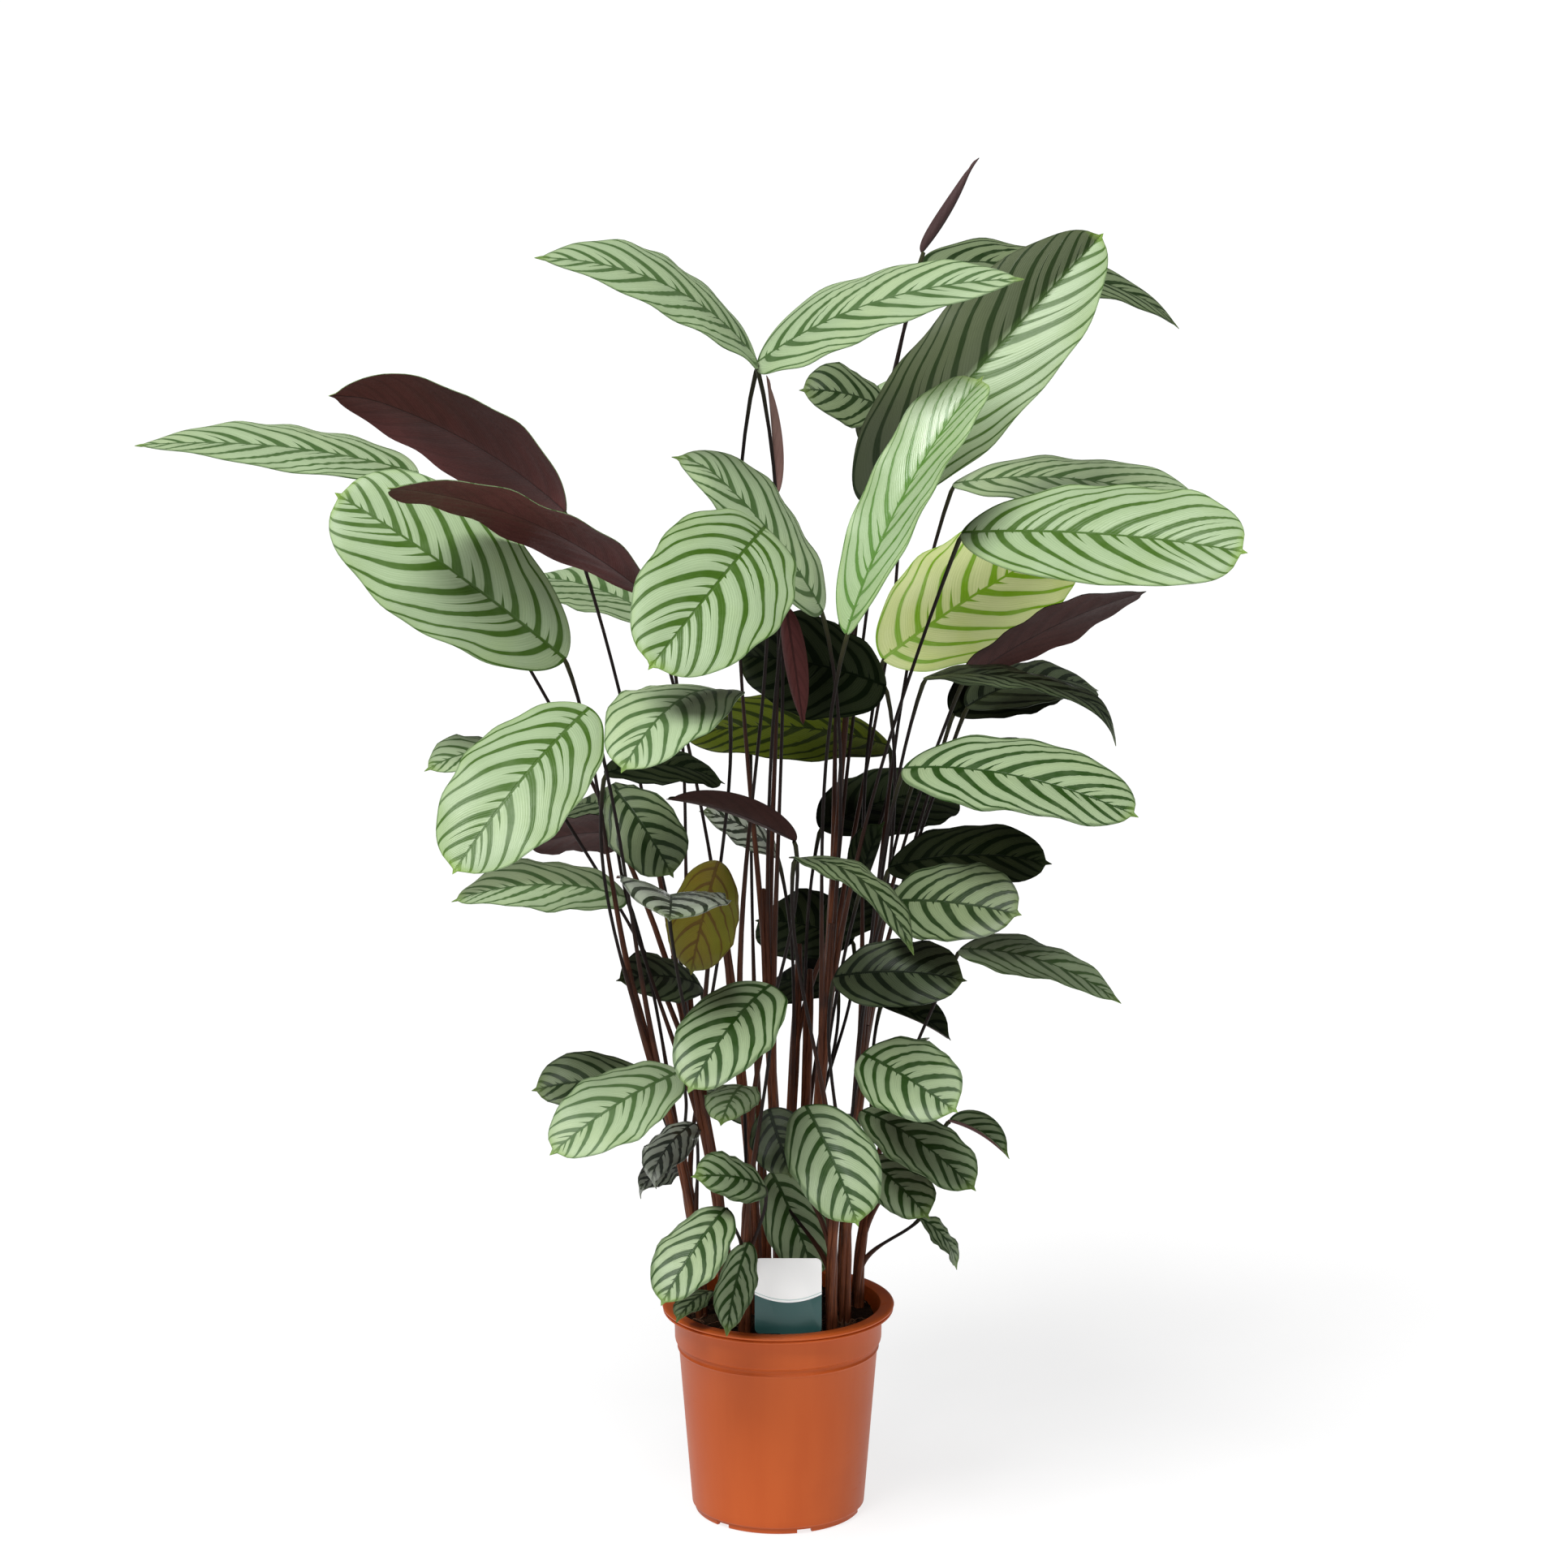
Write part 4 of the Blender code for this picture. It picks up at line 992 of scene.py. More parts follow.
@dataclass
class Tube:
    """A round bar along a path, with its own radius at each point."""

    sides: int = 8
    ridge_height: float = 0.0
    ridges: int = 5
    chart_scale: float = 10.0

    def build(self, name: str, path: np.ndarray, radii: np.ndarray,
              values: dict[str, np.ndarray]) -> bpy.types.Object:
        """Makes the tube, closed at both ends.

        Args:
            name: The object's name.
            path: Its middle line.
            radii: A radius for each point.
            values: Attributes along it, by name.

        Returns:
            The tube.
        """
        steps = unit(np.diff(path, axis=0))
        tangents = unit(np.vstack([steps[:1], steps[:-1] + steps[1:], steps[-1:]]))
        side = unit(np.cross(tangents[0], (0.0, -1.0, 0.0)))
        turn = np.linspace(0, FULL_TURN, self.sides + 1)
        rings = []
        for point, tangent, radius in zip(path, tangents, radii):
            side = unit(side - (side @ tangent) * tangent)
            other = np.cross(tangent, side)
            reach = radius * (1 + self.ridge_height * np.cos(self.ridges * turn))
            rings.append(point + reach[:, None] * (np.cos(turn)[:, None] * side
                                                   + np.sin(turn)[:, None] * other))
        first, last = (np.repeat(end, self.sides + 1, axis=0) for end in (path[:1], path[-1:]))
        points = np.array([first, *rings, last])
        gaps = np.linalg.norm(np.diff(path, axis=0), axis=1)
        lengths = with_caps(np.concatenate([[0], np.cumsum(gaps)])) * self.chart_scale
        chart = np.stack(np.broadcast_arrays(lengths[:, None], (turn / turn[-1])[None]), -1)
        grids = {label: np.repeat(with_caps(line)[:, None], self.sides + 1, axis=1)
                 for label, line in values.items()}
        piece = shaped_grid(name, points, chart, grids)
        close_up(piece)
        return piece


@dataclass
class Blade:
    """How a leaf's blade is shaped, whatever its size: lengths in metres, the rest in shares."""

    row_length: float = 0.0045
    column_width: float = 0.006
    thickness: float = 0.0007
    base_rounding: float = 0.55
    tip_rounding: float = 0.47
    pointing: float = 0.36
    slimming: float = 0.12
    drip: float = 0.0055
    drip_half: float = 0.0030
    camber: float = 0.20
    curl_start: float = 0.8
    twist_start: float = 0.3
    lopsidedness: float = 0.03
    wander: float = 0.025
    wander_turns: tuple[float, float] = (2.3, 4.7)
    wave: float = 0.0026
    waves: float = 1.5
    wave_lag: float = 1.6
    ripple: float = 0.0012
    ripples_left: float = 27.0
    ripples_right: float = 31.0
    quilting: float = 0.0008
    shade_edge: float = 0.06
    sweep: float = 0.34
    straight: float = 0.50
    narrowing: float = 1.4
    hug: float = 0.05

    def outline(self, along: np.ndarray, point: float) -> np.ndarray:
        """Half width as a share of the widest, from base (0) to tip (1).

        Args:
            along: Shares of the blade's length.
            point: 0 for a blunt tip, 1 for a long one.

        Returns:
            The half widths.
        """
        rounding = self.tip_rounding + self.pointing * point
        foot = self.base_rounding - self.slimming * max(point, 0)
        total = foot + rounding
        widest = (foot / total) ** foot * (rounding / total) ** rounding
        inside = np.clip(along, 0, 1)
        return inside ** foot * (1 - inside) ** rounding / widest

    def midrib(self, leaf: LeafPlan, along: np.ndarray) -> tuple[np.ndarray, ...]:
        """The line of the midrib.

        Args:
            leaf: The leaf.
            along: Shares of its length.

        Returns:
            Points there, with the tangent, sideways and upward directions.
        """
        base = np.array(leaf.base)
        chord = np.array(leaf.tip) - base
        length = np.linalg.norm(chord)
        heading = chord / length
        up = np.array(leaf.faces)
        up = unit(up - (up @ heading) * heading)
        rise = 4 * along * (1 - along) * leaf.arch * length
        slope = 4 * (1 - 2 * along) * leaf.arch * length
        points = base + np.outer(along, chord) + np.outer(rise, up)
        tangents = unit(chord + np.outer(slope, up))
        sideways = unit(np.cross(tangents, up))
        upward = np.cross(sideways, tangents)
        drop = leaf.curl * length * ramp(along, self.curl_start, 1) ** 2
        return points - upward * drop[:, None], tangents, sideways, upward

    def veins(self, along: np.ndarray, away: np.ndarray, across: np.ndarray,
              count: float) -> np.ndarray:
        """The phase of the side veins: whole numbers lie on a dark stripe.

        Args:
            along: Shares of the blade's length, a row for each.
            away: Distances from the midrib over the widest half width, a row for each share.
            across: Shares of the way from the midrib to the margin.
            count: How many stripes there are on a side.

        Returns:
            The phases.
        """
        leaning = self.straight * (1 + self.narrowing * along ** 3)
        lag = self.sweep * (leaning * away + (1 - self.straight) * away ** 2)
        lag = lag + self.hug * np.abs(across) ** 6
        start = along - lag * np.minimum(1, np.sqrt(along / 0.3))
        return count * (start + 0.25 * np.sin(FULL_TURN * start) / FULL_TURN)

    def half_widths(self, leaf: LeafPlan, along: np.ndarray, length: float) -> np.ndarray:
        """Half widths with a short drip tip.

        Args:
            leaf: The leaf.
            along: Shares of its length, a row for each.
            length: Its length.

        Returns:
            The half widths.
        """
        body = leaf.width / 2 * self.outline(along / (1 - self.drip / length), leaf.point)
        tail = self.drip_half * np.clip((1 - along) * length / self.drip, 0, 1)
        return np.where(along > 0.5, np.maximum(body, tail), body)

    def unevenness(self, along: np.ndarray, across: np.ndarray,
                   random: np.random.Generator) -> np.ndarray:
        """How much further each point lies from the midrib than on an even blade.

        Args:
            along: Shares of the blade's length, a row for each.
            across: Shares of the way from the midrib to the margin.
            random: The leaf's random source.

        Returns:
            A factor for each point.
        """
        lean, *shifts = random.uniform(-1, 1, 5)
        factor = 1 + self.lopsidedness * lean * np.sign(across)
        for turns, left, right in zip(self.wander_turns, shifts[0::2], shifts[1::2]):
            shift = 3 * np.where(across > 0, right, left)
            size = self.wander * math.sqrt(self.wander_turns[0] / turns)
            factor = factor * (1 + size * np.sin(FULL_TURN * turns * along + shift))
        return factor

    def relief(self, leaf: LeafPlan, half: np.ndarray, along: np.ndarray, across: np.ndarray,
               phase: np.ndarray, random: np.random.Generator) -> np.ndarray:
        """How far the points of a blade that isn't rolled stand over its midrib.

        Args:
            leaf: The leaf.
            half: Half widths, a row for each share of its length.
            along: Shares of its length, a row for each.
            across: Shares of the way from the midrib to the margin.
            phase: The side veins' phases.
            random: The leaf's random source.

        Returns:
            The heights.
        """
        right, out, share = across > 0, np.abs(across), half / half.max()
        first, second = random.uniform(0, FULL_TURN, 2)
        fold = half * (out * math.sin(leaf.fold) - self.camber * out ** 2)
        wave = np.sin(FULL_TURN * self.waves * along + self.wave_lag * right)
        ripple = np.where(right, np.sin(self.ripples_right * along + first),
                          np.sin(self.ripples_left * along + second))
        swell = np.cos(FULL_TURN * (phase + RIGHT_LAG * right))
        return fold + share * (self.wave * out ** 2 * wave + self.ripple * out ** 3 * ripple
                               - self.quilting * swell * 4 * out * (1 - out))

    def build(self, name: str, leaf: LeafPlan, sides: LeafSides) -> bpy.types.Object:
        """Makes the blade.

        Args:
            name: The piece's name.
            leaf: The leaf.
            sides: The materials of its upper and its under side.

        Returns:
            The blade, with a slot for each side's material.
        """
        random = seeded(name)
        length = float(np.linalg.norm(np.array(leaf.tip) - np.array(leaf.base)))
        rows = int(np.clip(length / self.row_length, 22, 54))
        columns = int(np.clip(leaf.width / self.column_width, 8, 20)) // 2 * 2
        stations = (1 - np.cos(np.linspace(0, math.pi, rows + 1))) / 2
        along = stations[:, None]
        across = np.linspace(-1, 1, columns + 1)
        half = self.half_widths(leaf, along, length)
        reach = half * across * self.unevenness(along, across, random)
        distance = half * np.abs(across)
        count = float(np.clip(5.2 + length * 17, 6, 10))
        phase = self.veins(along, distance / half.max(), across, count)
        if leaf.roll:
            radius = half / leaf.roll
            reach = radius * np.sin(across * leaf.roll)
            lift = radius * (1 - np.cos(across * leaf.roll))
        else:
            reach = reach * math.cos(leaf.fold)
            lift = self.relief(leaf, half, along, across, phase, random)
        points, _, sideways, upward = self.midrib(leaf, stations)
        turn = leaf.twist * (along - self.twist_start)
        outward = sideways * np.cos(turn) + upward * np.sin(turn)
        over = upward * np.cos(turn) - sideways * np.sin(turn)
        grid = (points[:, None] + outward[:, None] * reach[..., None]
                + over[:, None] * lift[..., None])
        end = np.clip(1 - (1 - along) * length / (2.4 * self.drip), 0, 1)
        shade = np.interp(across, (-self.shade_edge, self.shade_edge), leaf.shade)
        values = {
            "vein": phase,
            "rib": distance / (1.35 - 0.7 * along),
            "edge": half * (1 - np.abs(across)),
            "shade": np.broadcast_to(shade, phase.shape),
            "end": np.broadcast_to(end, phase.shape),
            "tint": np.full(phase.shape, random.uniform(0, 1)),
        }
        chart = np.stack(np.broadcast_arrays(along, (across + 1) / 2), -1)
        piece = shaped_grid(name, grid, chart, values)
        edit(piece, merge_doubles)
        self.face_up(piece, upward)
        for material in sides:
            piece.data.materials.append(material)
        solid = piece.modifiers.new("thickness", "SOLIDIFY")
        solid.thickness = self.thickness
        solid.offset = 0
        solid.material_offset = 1
        solid.material_offset_rim = 0
        apply_all(piece)
        return piece

    @staticmethod
    def face_up(piece: bpy.types.Object, upward: np.ndarray) -> None:
        """Turns the sheet's faces to the leaf's upper side."""
        mean = sum((polygon.normal * polygon.area for polygon in piece.data.polygons), Vector())
        if mean.dot(Vector(upward.mean(axis=0))) < 0:
            edit(piece, bpy.ops.mesh.flip_normals)


@dataclass
class Shoot:
    """A leafy stem: its sheath and stalks in one piece, and each leaf in its own."""

    plan: ShootPlan
    blade: Blade
    collar: float = 0.008
    stem_lift: float = 0.4
    stem_pull: float = 0.7
    foot_depth: float = 0.012
    stem_radius: float = 0.0058
    stem_top_radius: float = 0.0044
    strands: int = 3
    strand_twist: float = 1.7
    strand_share: float = 0.54
    strand_aside: float = 0.5
    wire_radius: float = 0.0015
    sheath_radius: float = 0.0032
    sheath_share: float = 0.42
    knee_radius: float = 0.0021
    sinks: tuple[float, float] = (0.012, 0.012)
    climb_pull: float = 0.4
    arrival_pull: float = 0.3
    steepness: float = 0.82
    follow_through: float = 0.45

    @staticmethod
    def curve(start: Any, first: Any, second: Any, end: Any, steps: int) -> np.ndarray:
        """Points of the smooth curve from start to end that first and second pull at."""
        share = np.linspace(0, 1, steps + 1)[:, None]
        rest = 1 - share
        return (rest ** 3 * start + 3 * rest ** 2 * share * first
                + 3 * rest * share ** 2 * second + share ** 3 * end)

    def stem_line(self, steps: int) -> np.ndarray:
        """Points along the stem, from just above the peat to the top of its sheath."""
        root = np.array((*self.plan.root, PEAT_TOP + self.collar))
        reach = np.array(self.plan.top) - root
        lift = np.array((0, 0, self.stem_lift * reach[2]))
        return self.curve(root, root + lift, root + self.stem_pull * reach, root + reach, steps)

    def stem(self) -> bpy.types.Object:
        """The stem: three sheaths that lie loosely wound against each other."""
        foot = np.array((*self.plan.root, PEAT_TOP - self.foot_depth))
        path = np.vstack([foot, self.stem_line(20)])
        share = np.linspace(0, 1, len(path))
        radii = self.stem_radius + (self.stem_top_radius - self.stem_radius) * share
        radii = radii * ramp(share, 1.16, 0.88)
        marks = {"wire": 0.75 * ramp(share, 0.55, 1.05), "knee": share * 0}
        strands = []
        for number in range(self.strands):
            first_angle = FULL_TURN * number / self.strands + self.plan.root[0] * 90
            angle = first_angle + self.strand_twist * share
            aside = np.stack([np.cos(angle), np.sin(angle), 0 * angle], 1)
            thickness = radii * (self.strand_share + 0.04 * np.sin(share * 19 + number))
            line = path + self.strand_aside * radii[:, None] * aside
            strands.append(Tube(8, 0.05).build("stem", line, thickness, marks))
        return join("stem", strands)

    def parting(self, leaf: LeafPlan, steps: int = 5) -> tuple[np.ndarray, np.ndarray]:
        """Where a leaf's stalk leaves the stem.

        Args:
            leaf: The leaf.
            steps: How many straight steps the stem is taken as.

        Returns:
            The place, and the stem's direction there.
        """
        height = leaf.part * (leaf.base[2] - PEAT_TOP) / (self.plan.top[2] - PEAT_TOP)
        share = min(0.96, height) * steps
        line = self.stem_line(steps)
        step = min(int(share), steps - 1)
        climb = line[step + 1] - line[step]
        return line[step] + (share - step) * climb, unit(climb)

    def stalk(self, leaf: LeafPlan) -> bpy.types.Object:
        """The stalk of a leaf: a sheath that leaves the stem, a wire, and a knee by the blade.

        Args:
            leaf: The leaf.

        Returns:
            The stalk.
        """
        start, climb = self.parting(leaf)
        base = np.array(leaf.base)
        reach = base - start
        distance = np.linalg.norm(reach)
        heading = np.array(leaf.tip) - base
        length = np.linalg.norm(heading)
        heading[2] = 0
        arrival = unit(reach / distance + np.array((0, 0, self.steepness))
                       + self.follow_through * unit(heading))
        line = self.curve(start, start + climb * distance * self.climb_pull,
                          base - arrival * distance * self.arrival_pull, base, 18)
        # Both sinks are alike, so the tube's last two rings have no valid place: it ends at the corner.
        inside, tangent, _, up = self.blade.midrib(leaf, np.array(self.sinks) / length)
        corner = base - up[0] * 0.0007
        bend = line[-2] * 0.25 + corner * 0.75
        path = np.vstack([line[:-1], bend, corner + tangent[0] * 0.0015,
                          inside - up * (self.blade.thickness * 0.5 + self.wire_radius * 0.35)])
        count = len(path)
        order = np.arange(count)
        place = np.linspace(0, 1, count)
        swelling = np.exp(-((order - (count - 4)) / 1.6) ** 2)
        radii = (self.wire_radius
                 + (self.sheath_radius - self.wire_radius) * ramp(place, self.sheath_share, 0) ** 0.8
                 + (self.knee_radius - self.wire_radius) * swelling)
        radii[-2:] = self.wire_radius * np.array((0.8, 0.45))
        marks = {"wire": ramp(place, 0, 0.45) ** 0.8,
                 "knee": ramp(order, count - 6, count - 2) * 0.7}
        return Tube(8, 0.04).build("stalk", path, radii, marks)

    def build(self, finishes: dict[Tone, LeafSides], bark: bpy.types.Material) -> int:
        """Makes the stem piece and the leaf pieces.

        Args:
            finishes: Upper and lower material of each tone.
            bark: The stalks' material.

        Returns:
            How many pieces were made.
        """
        parts = [self.stem()] + [self.stalk(leaf) for leaf in self.plan.leaves]
        stalks = join(self.plan.name + "_stalks", parts)
        stalks.data.materials.append(bark)
        settle(stalks, self.plan.name, 70)
        for leaf in self.plan.leaves:
            piece = self.blade.build(f"{self.plan.name}_{leaf.name}", leaf, finishes[leaf.tone])
            settle(piece, self.plan.name, 60)
        return len(parts)


@dataclass
class Pot:
    """The nursery pot: tapered wall, stepped collar, rolled lip, crease and foot ring."""

    height: float = 0.195
    rim_radius: float = 0.105
    base_radius: float = 0.0783
    wall: float = 0.0018
    lip_reach: float = 0.011
    lip_height: float = 0.0075
    collar_drop: float = 0.035
    collar_step: float = 0.0035
    crease_drop: float = 0.0415
    foot_inset: float = 0.0028
    foot_height: float = 0.006
    channel_rise: float = 0.004
    sides: int = 96
    drains: int = 6
    drain_radius: float = 0.0050
    drain_circle: float = 0.060
    drain_turn: float = math.radians(48.5)
    notch: tuple[float, float, float] = (0.014, 0.014, 0.007)

    def wall_radius(self, height: float) -> float:
        """Outer radius of the tapered wall at a height, up to the collar."""
        foot, top = self.foot_height, self.height - self.collar_drop
        widest = self.rim_radius - self.lip_reach - self.collar_step
        return self.base_radius + (widest - self.base_radius) * (height - foot) / (top - foot)

    def section(self) -> list[tuple[float, float]]:
        """The wall in section, from the underside round to the floor's top.

        Returns:
            Radius and height of each ring.
        """
        foot = self.base_radius - self.foot_inset
        collar_foot = self.height - self.collar_drop
        rim, collar = self.rim_radius, self.rim_radius - self.lip_reach
        crease = self.height - self.crease_drop
        rise, top = self.channel_rise, self.height
        low, inside = top - self.lip_height, collar - self.wall
        rings = [(0.010, 0), (0.045, 0), (0.0465, 0.0006), (0.0485, rise - 0.0006), (0.050, rise),
                 (foot - 0.0062, rise), (foot - 0.0046, rise - 0.001), (foot - 0.0042, 0.0006),
                 (foot - 0.0034, 0), (foot - 0.0008, 0), (foot, 0.0008),
                 (foot, self.foot_height - 0.0016), (foot + 0.0006, self.foot_height - 0.0006),
                 (self.base_radius - 0.0008, self.foot_height - 0.0002),
                 (self.base_radius, self.foot_height + 0.0008)]
        rings += [(self.wall_radius(z), z) for z in (0.030, 0.070, 0.110, crease - 0.0024)]
        for offset, bulge in ((-0.0014, 0.0004), (-0.0006, 0.0011), (0.0, 0.0014), (0.0006, 0.0011),
                              (0.0014, 0.0004), (0.0024, 0.0)):
            rings.append((self.wall_radius(crease + offset) + bulge, crease + offset))
        rings += [(self.wall_radius(collar_foot - 0.0014), collar_foot - 0.0014),
                  (self.wall_radius(collar_foot - 0.0014) + 0.0008, collar_foot - 0.0004),
                  (collar - 0.0018, collar_foot), (collar - 0.0008, collar_foot + 0.0008),
                  (collar - 0.0004, collar_foot + 0.003), (collar, low - 0.0016),
                  (collar + 0.0008, low - 0.0002), (rim - 0.0030, low), (rim - 0.0014, low + 0.0004),
                  (rim - 0.0008, low + 0.0013), (rim - 0.0012, low + 0.0022),
                  (rim - 0.0026, low + 0.0028), (rim - 0.0014, low + 0.0034),
                  (rim - 0.0003, low + 0.0044), (rim, low + 0.0054), (rim - 0.0006, top - 0.0010),
                  (rim - 0.0018, top - 0.0002), (rim - 0.0035, top), (inside + 0.0024, top - 0.0004),
                  (inside + 0.0006, top - 0.0012), (inside, top - 0.0028),
                  (inside - 0.0006, collar_foot + 0.003)]
        inner = [(self.wall_radius(z) - self.wall, z) for z in (collar_foot - 0.001, 0.120, 0.060, 0.010)]
        floor = rise + self.wall
        return rings + inner + [(self.base_radius - 0.006, floor), (0.010, floor)]

    def build(self, finish: bpy.types.Material) -> None:
        """Turns the wall, then cuts the drain holes and notches.

        Args:
            finish: The plastic.
        """
        rings = self.section()
        deselect()
        bpy.ops.mesh.primitive_circle_add(vertices=self.sides, radius=rings[0][0],
                                          fill_type="NGON", location=(0, 0, rings[0][1]))
        pot = bpy.context.object
        pot.name = "pot_shell"

        def steps() -> None:
            """Extrudes and scales ring by ring."""
            for (radius, height), (wider, higher) in zip(rings, rings[1:]):
                bpy.ops.mesh.extrude_region_move(
                    TRANSFORM_OT_translate={"value": (0, 0, higher - height)})
                grow = wider / radius
                bpy.ops.transform.resize(value=(grow, grow, 1), center_override=(0, 0, higher))

        edit(pot, steps)
        close_up(pot)
        cutters = []
        for index in range(self.drains):
            turn = self.drain_turn + FULL_TURN * index / self.drains
            direction = Vector((math.cos(turn), math.sin(turn), 0))
            deselect()
            bpy.ops.mesh.primitive_cylinder_add(
                vertices=20, radius=self.drain_radius, depth=0.02,
                location=direction * self.drain_circle)
            cutters.append(bpy.context.object)
            bpy.ops.mesh.primitive_cube_add(
                size=1, location=direction * (self.base_radius - self.foot_inset),
                rotation=(0, 0, turn), scale=self.notch)
            cutters.append(bpy.context.object)
        cutter = join("drain_cutter", cutters)
        cut = pot.modifiers.new("drains", "BOOLEAN")
        cut.operation = "DIFFERENCE"
        cut.object = cutter
        cut.use_self = True
        apply_all(pot)
        bpy.data.objects.remove(cutter)
        pot.data.materials.append(finish)
        settle(pot, "pot", 32)


@dataclass
class Peat:
    """The peat in the pot: a lumpy top with crumbs, fibres and a clump of roots."""

    pot: Pot
    floor: float = 0.0061
    bend: float = 0.1
    reach: float = 0.084
    crown: float = 0.003
    crown_reach: float = 0.1
    lump: float = 0.0024
    crumbs: int = 420
    fibres: int = 90
    clump: tuple[float, float] = (0.056, -0.045)
    clump_fibres: int = 46
    rows: int = 34
    sides: int = 96

    def height_at(self, x: np.ndarray, y: np.ndarray) -> np.ndarray:
        """The height of the peat's surface.

        Args:
            x: Places across.
            y: Places in depth.

        Returns:
            The heights.
        """
        random = seeded("peat")
        radius = np.hypot(x, y)
        height = PEAT_TOP + self.crown * (1 - (radius / self.crown_reach) ** 2)
        for scale, size in ((60, 1.0), (130, 0.6), (290, 0.4), (620, 0.22)):
            for _ in range(3):
                turn, shift = random.uniform(0, FULL_TURN, 2)
                height = height + self.lump * size / 3 * np.sin(
                    scale * (x * math.cos(turn) + y * math.sin(turn)) + shift)
        return height

    def spot(self, random: np.random.Generator) -> tuple[float, float]:
        """A place on the peat, with every part of it equally likely."""
        radius = self.reach * math.sqrt(random.uniform(0, 1))
        turn = random.uniform(0, FULL_TURN)
        return radius * math.cos(turn), radius * math.sin(turn)

    def bed(self) -> bpy.types.Object:
        """The body of peat, closed below."""
        edge = self.pot.wall_radius(self.pot.height - self.pot.collar_drop) - self.pot.wall - 0.0006
        waist = self.pot.wall_radius(self.bend) - self.pot.wall - 0.0008
        radii = np.concatenate([[0, 0.04, 0.0725], [waist, edge],
                                np.linspace(edge, 0, self.rows)[1:]])
        turn = np.linspace(0, FULL_TURN, self.sides + 1)
        x, y = radii[:, None] * np.cos(turn), radii[:, None] * np.sin(turn)
        z = self.height_at(x, y)
        z[:3] = self.floor
        z[3] = self.bend
        z[4] = PEAT_TOP - 0.006
        chart = np.stack([x * 5, y * 5], -1)
        bed = shaped_grid("peat_bed", np.stack([x, y, z], -1), chart, {})
        close_up(bed)
        return bed

    def scatter_crumbs(self) -> list[bpy.types.Object]:
        """Crumbs of peat, copied from one rough lump."""
        random = seeded("crumbs")
        deselect()
        bpy.ops.mesh.primitive_ico_sphere_add(subdivisions=1, radius=1)
        lump = bpy.context.object
        rough = 1 + 0.25 * random.uniform(-1, 1, (len(lump.data.vertices), 1))
        shape = np.array([vertex.co for vertex in lump.data.vertices]) * rough
        crumbs = []
        for _ in range(self.crumbs):
            x, y = self.spot(random)
            size = 0.0006 + 0.0019 * random.uniform(0, 1) ** 3
            copy = lump.copy()
            copy.data = lump.data.copy()
            bpy.context.collection.objects.link(copy)
            stretch = random.uniform(0.6, 1.4, 3) * size
            place = np.array((x, y, self.height_at(np.array(x), np.array(y)) + size * 0.3))
            spin = random.permutation(3)
            copy.data.vertices.foreach_set("co", (shape[:, spin] * stretch + place).ravel())
            crumbs.append(copy)
        bpy.data.objects.remove(lump)
        return crumbs

    def strand(self, random: np.random.Generator, start: tuple[float, float], rise: float,
               length: float) -> bpy.types.Object:
        """One curved fibre.

        Args:
            random: The random source.
            start: Where it starts.
            rise: How far its middle stands over the peat.
            length: How long it is.

        Returns:
            The fibre.
        """
        turn, bend = random.uniform(0, FULL_TURN), random.uniform(-1.6, 1.6)
        share = np.linspace(0, 1, 7)
        heading = turn + bend * share
        steps = length / 6 * np.stack([np.cos(heading), np.sin(heading)], -1)
        flat = np.array(start) + np.cumsum(steps, axis=0)
        far = np.hypot(*flat.T)
        flat = flat * np.minimum(1, self.reach / np.maximum(far, 0.000001))[:, None]
        height = self.height_at(flat[:, 0], flat[:, 1]) + rise * np.sin(math.pi * share)
        radius = random.uniform(0.00022, 0.00045)
        return Tube(5).build("fibre", np.column_stack([flat, height]), np.full(7, radius), {})

    def build(self, peat: bpy.types.Material, fibre: bpy.types.Material) -> None:
        """Makes the bed with its crumbs, and the fibres.

        Args:
            peat: The peat's material.
            fibre: The fibres' material.
        """
        bed = join("peat_bed", [self.bed(), *self.scatter_crumbs()])
        bed.data.materials.append(peat)
        settle(bed, "soil", 50)
        random = seeded("fibres")
        strands = []
        for _ in range(self.fibres):
            strands.append(self.strand(random, self.spot(random), random.uniform(0.0004, 0.004),
                                       random.uniform(0.008, 0.026)))
        for _ in range(self.clump_fibres):
            start = np.array(self.clump) + random.normal(0, 0.005, 2)
            strands.append(self.strand(random, start, random.uniform(0.002, 0.010),
                                       random.uniform(0.010, 0.022)))
        fibres = join("peat_fibres", strands)
        fibres.data.materials.append(fibre)
        settle(fibres, "soil", 60)


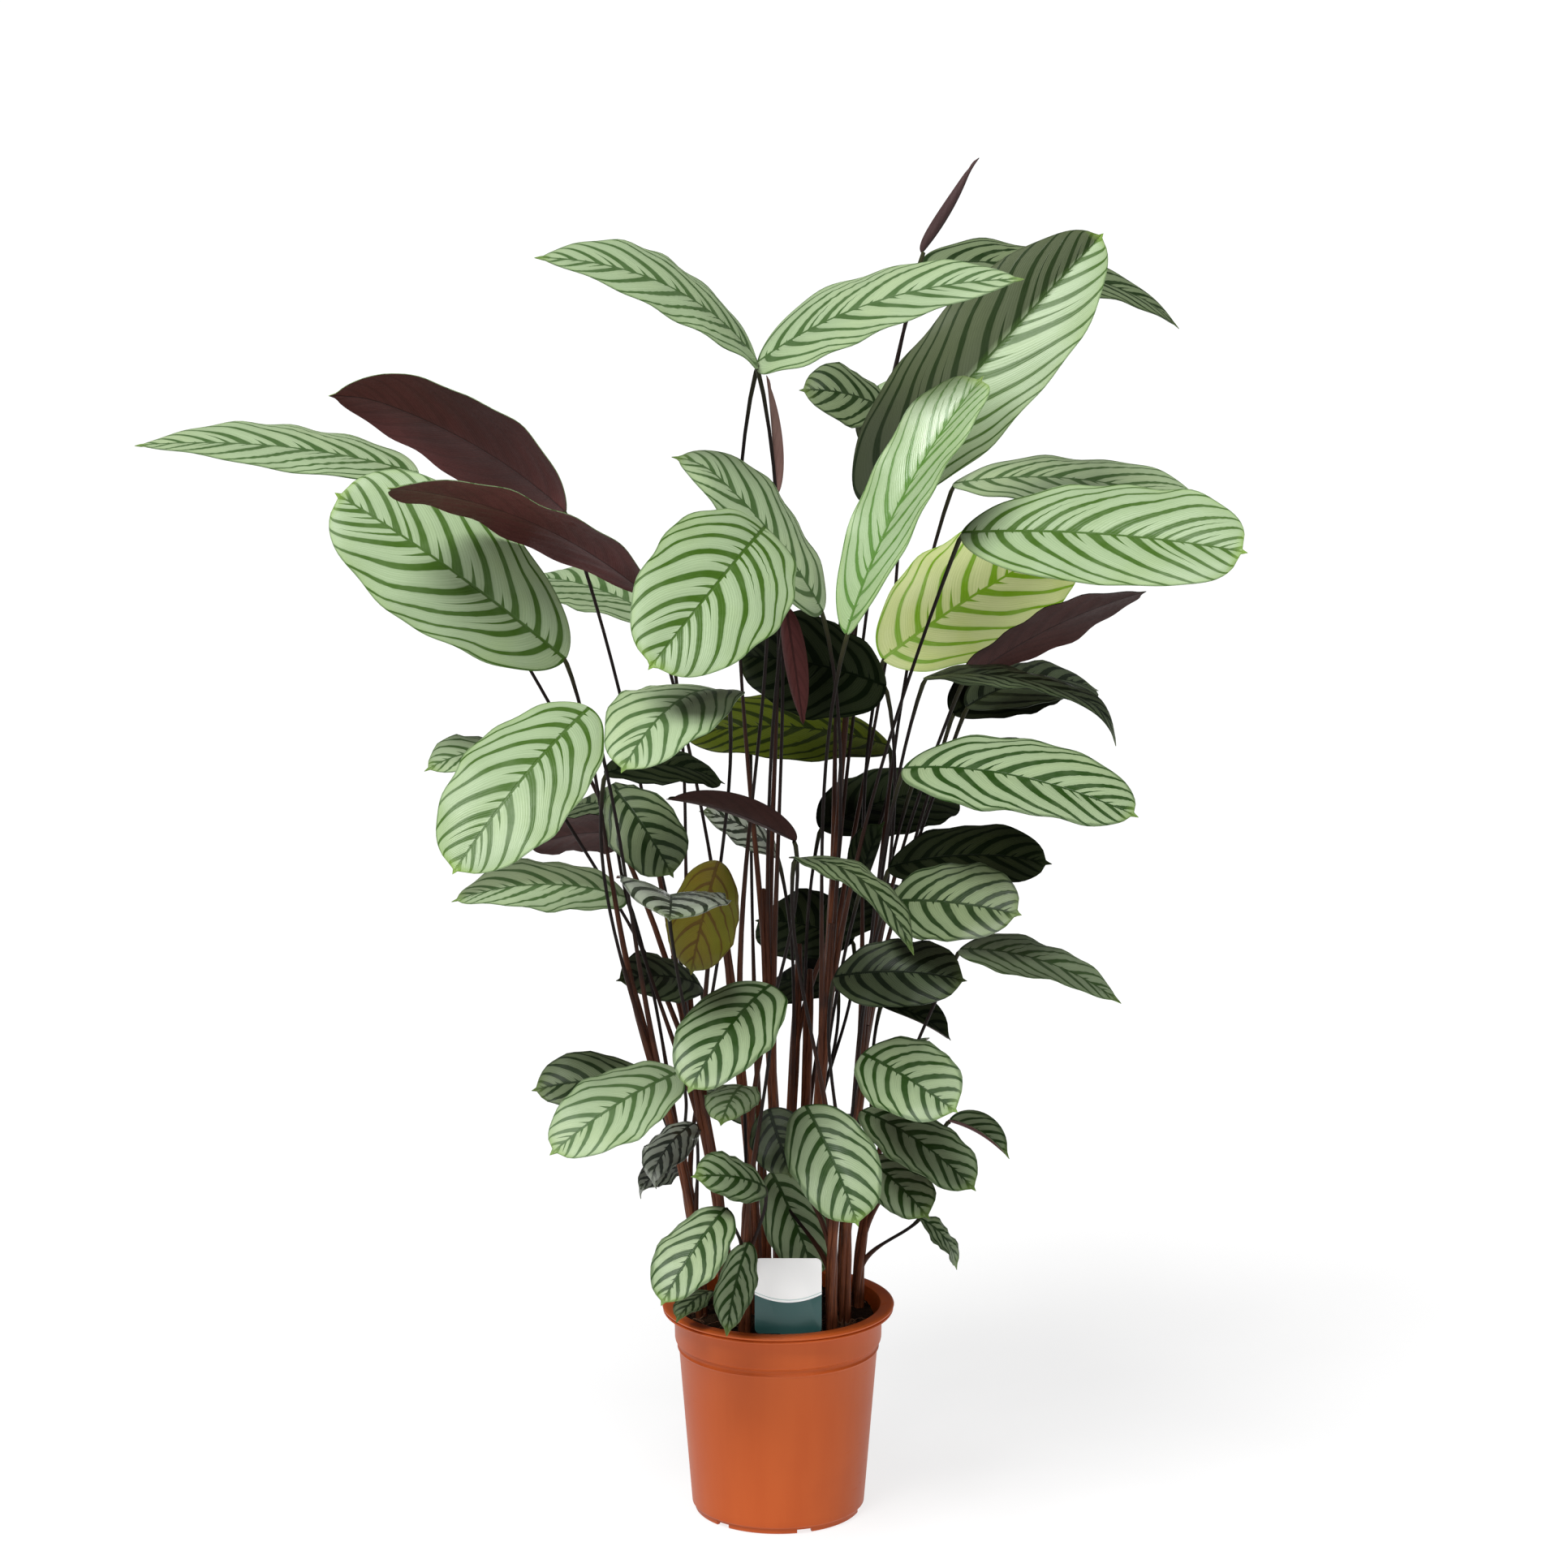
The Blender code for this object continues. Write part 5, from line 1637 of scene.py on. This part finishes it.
@dataclass
class Label:
    """The plant label: a rounded head over a pointed spike."""

    width: float = 0.0595
    head: float = 0.068
    spike: float = 0.045
    spike_width: float = 0.014
    point: float = 0.012
    thickness: float = 0.0008
    corner: float = 0.005
    edge_rounding: float = 0.00015
    place: Point = (0.009, -0.079, 0.190)
    lean: float = math.radians(6)

    def build(self, finish: bpy.types.Material) -> None:
        """Makes the label flat, rounds its four corners, and gives it its thickness.

        Args:
            finish: The card.
        """
        deselect()
        bpy.ops.mesh.primitive_plane_add(size=1)
        label = bpy.context.object
        label.name = "label_card"
        half, spike, foot = self.width / 2, self.spike_width / 2, self.point - self.spike
        outline = [(-half, 0), (-spike, 0), (spike, 0), (half, 0), (half, self.head),
                   (spike, self.head), (-spike, self.head), (-half, self.head),
                   (-spike, foot), (spike, foot), (0, -self.spike)]
        faces = [(0, 1, 6, 7), (1, 2, 5, 6), (2, 3, 4, 5), (8, 9, 2, 1), (10, 9, 8)]
        corners = (0, 3, 4, 7)
        mesh = label.data
        mesh.clear_geometry()
        mesh.from_pydata([(x, 0, z) for x, z in outline], [], faces)
        mesh.update()
        edit(label, lambda: bpy.ops.mesh.select_all(action="DESELECT"))
        for index in corners:
            mesh.vertices[index].select = True
        bpy.ops.object.mode_set(mode="EDIT")
        bpy.ops.mesh.select_mode(type="VERT")
        bpy.ops.mesh.bevel(offset=self.corner, segments=6, affect="VERTICES")
        bpy.ops.object.mode_set(mode="OBJECT")
        solid = label.modifiers.new("thickness", "SOLIDIFY")
        solid.thickness = self.thickness
        solid.offset = 0
        rounding = label.modifiers.new("edges", "BEVEL")
        rounding.width = self.edge_rounding
        rounding.segments = 2
        apply_all(label)
        label.rotation_euler = (-self.lean, 0, 0)
        label.location = self.place
        label.data.materials.append(finish)
        close_up(label)
        settle(label, "label", 40)


@dataclass(frozen=True)
class Lamp:
    """A soft lamp that lights everything from one direction; its angles are in degrees."""

    name: str
    tilt: float
    turn: float
    strength: float
    softness: float

    def build(self) -> None:
        """Adds the lamp."""
        deselect()
        rotation = (math.radians(self.tilt), 0, math.radians(self.turn))
        bpy.ops.object.light_add(type="SUN", location=(0, -2, 4), rotation=rotation)
        lamp = bpy.context.object
        lamp.name = self.name
        lamp.data.energy = self.strength
        lamp.data.angle = math.radians(self.softness)


@dataclass
class Studio:
    """A pale floor, soft lights and a camera at the photograph's angle."""

    floor_size: float = 160.0
    floor_height: float = -0.0004
    camera_place: Point = (0.0053, -4.0, 1.506)
    pitch: float = math.radians(11.77)
    lens: float = 106.08
    sensor: float = 36.0
    sky: float = 0.11
    key: Lamp = Lamp("key", 31, -30, 4.1, 30)
    fill: Lamp = Lamp("fill", 62, 24, 0.41, 40)

    def build(self, finish: bpy.types.Material) -> None:
        """Makes the floor, world, lights and camera.

        Args:
            finish: The floor's material.
        """
        deselect()
        bpy.ops.mesh.primitive_plane_add(size=self.floor_size, location=(0, 0, self.floor_height))
        floor = bpy.context.object
        floor.name = "studio_floor"
        floor.data.materials.append(finish)
        world = bpy.data.worlds.new("studio")
        world.use_nodes = True
        backdrop = world.node_tree.nodes["Background"]
        backdrop.inputs["Color"].default_value = (1, 1, 1, 1)
        backdrop.inputs["Strength"].default_value = self.sky
        bpy.context.scene.world = world
        self.key.build()
        self.fill.build()
        deselect()
        bpy.ops.object.camera_add(location=self.camera_place,
                                  rotation=(math.pi / 2 - self.pitch, 0, 0))
        camera = bpy.context.object
        camera.data.lens = self.lens
        camera.data.sensor_width = self.sensor
        bpy.context.scene.camera = camera
        bpy.context.scene.view_settings.view_transform = "Standard"


def main() -> None:
    """Builds every piece in order and reports it."""
    logging.basicConfig(level=logging.INFO)
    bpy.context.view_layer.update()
    pot = Pot()
    pot.build(PlasticFinish().material())
    LOG.info("pot: 1 piece")
    Peat(pot).build(PeatFinish().material(), FibreFinish().material())
    LOG.info("peat: 2 pieces")
    Label().build(CardFinish().material())
    LOG.info("label: 1 piece")
    finishes = {tone: (finish.upper(tone.value), finish.lower(tone.value))
                for tone, finish in LEAF_FINISHES.items()}
    bark = StalkFinish().material()
    blade = Blade()
    for plan in PLANT:
        count = Shoot(plan, blade).build(finishes, bark)
        LOG.info("%s: %d pieces", plan.name, count)
    Studio().build(FloorFinish().material())


if __name__ == "__main__":
    main()
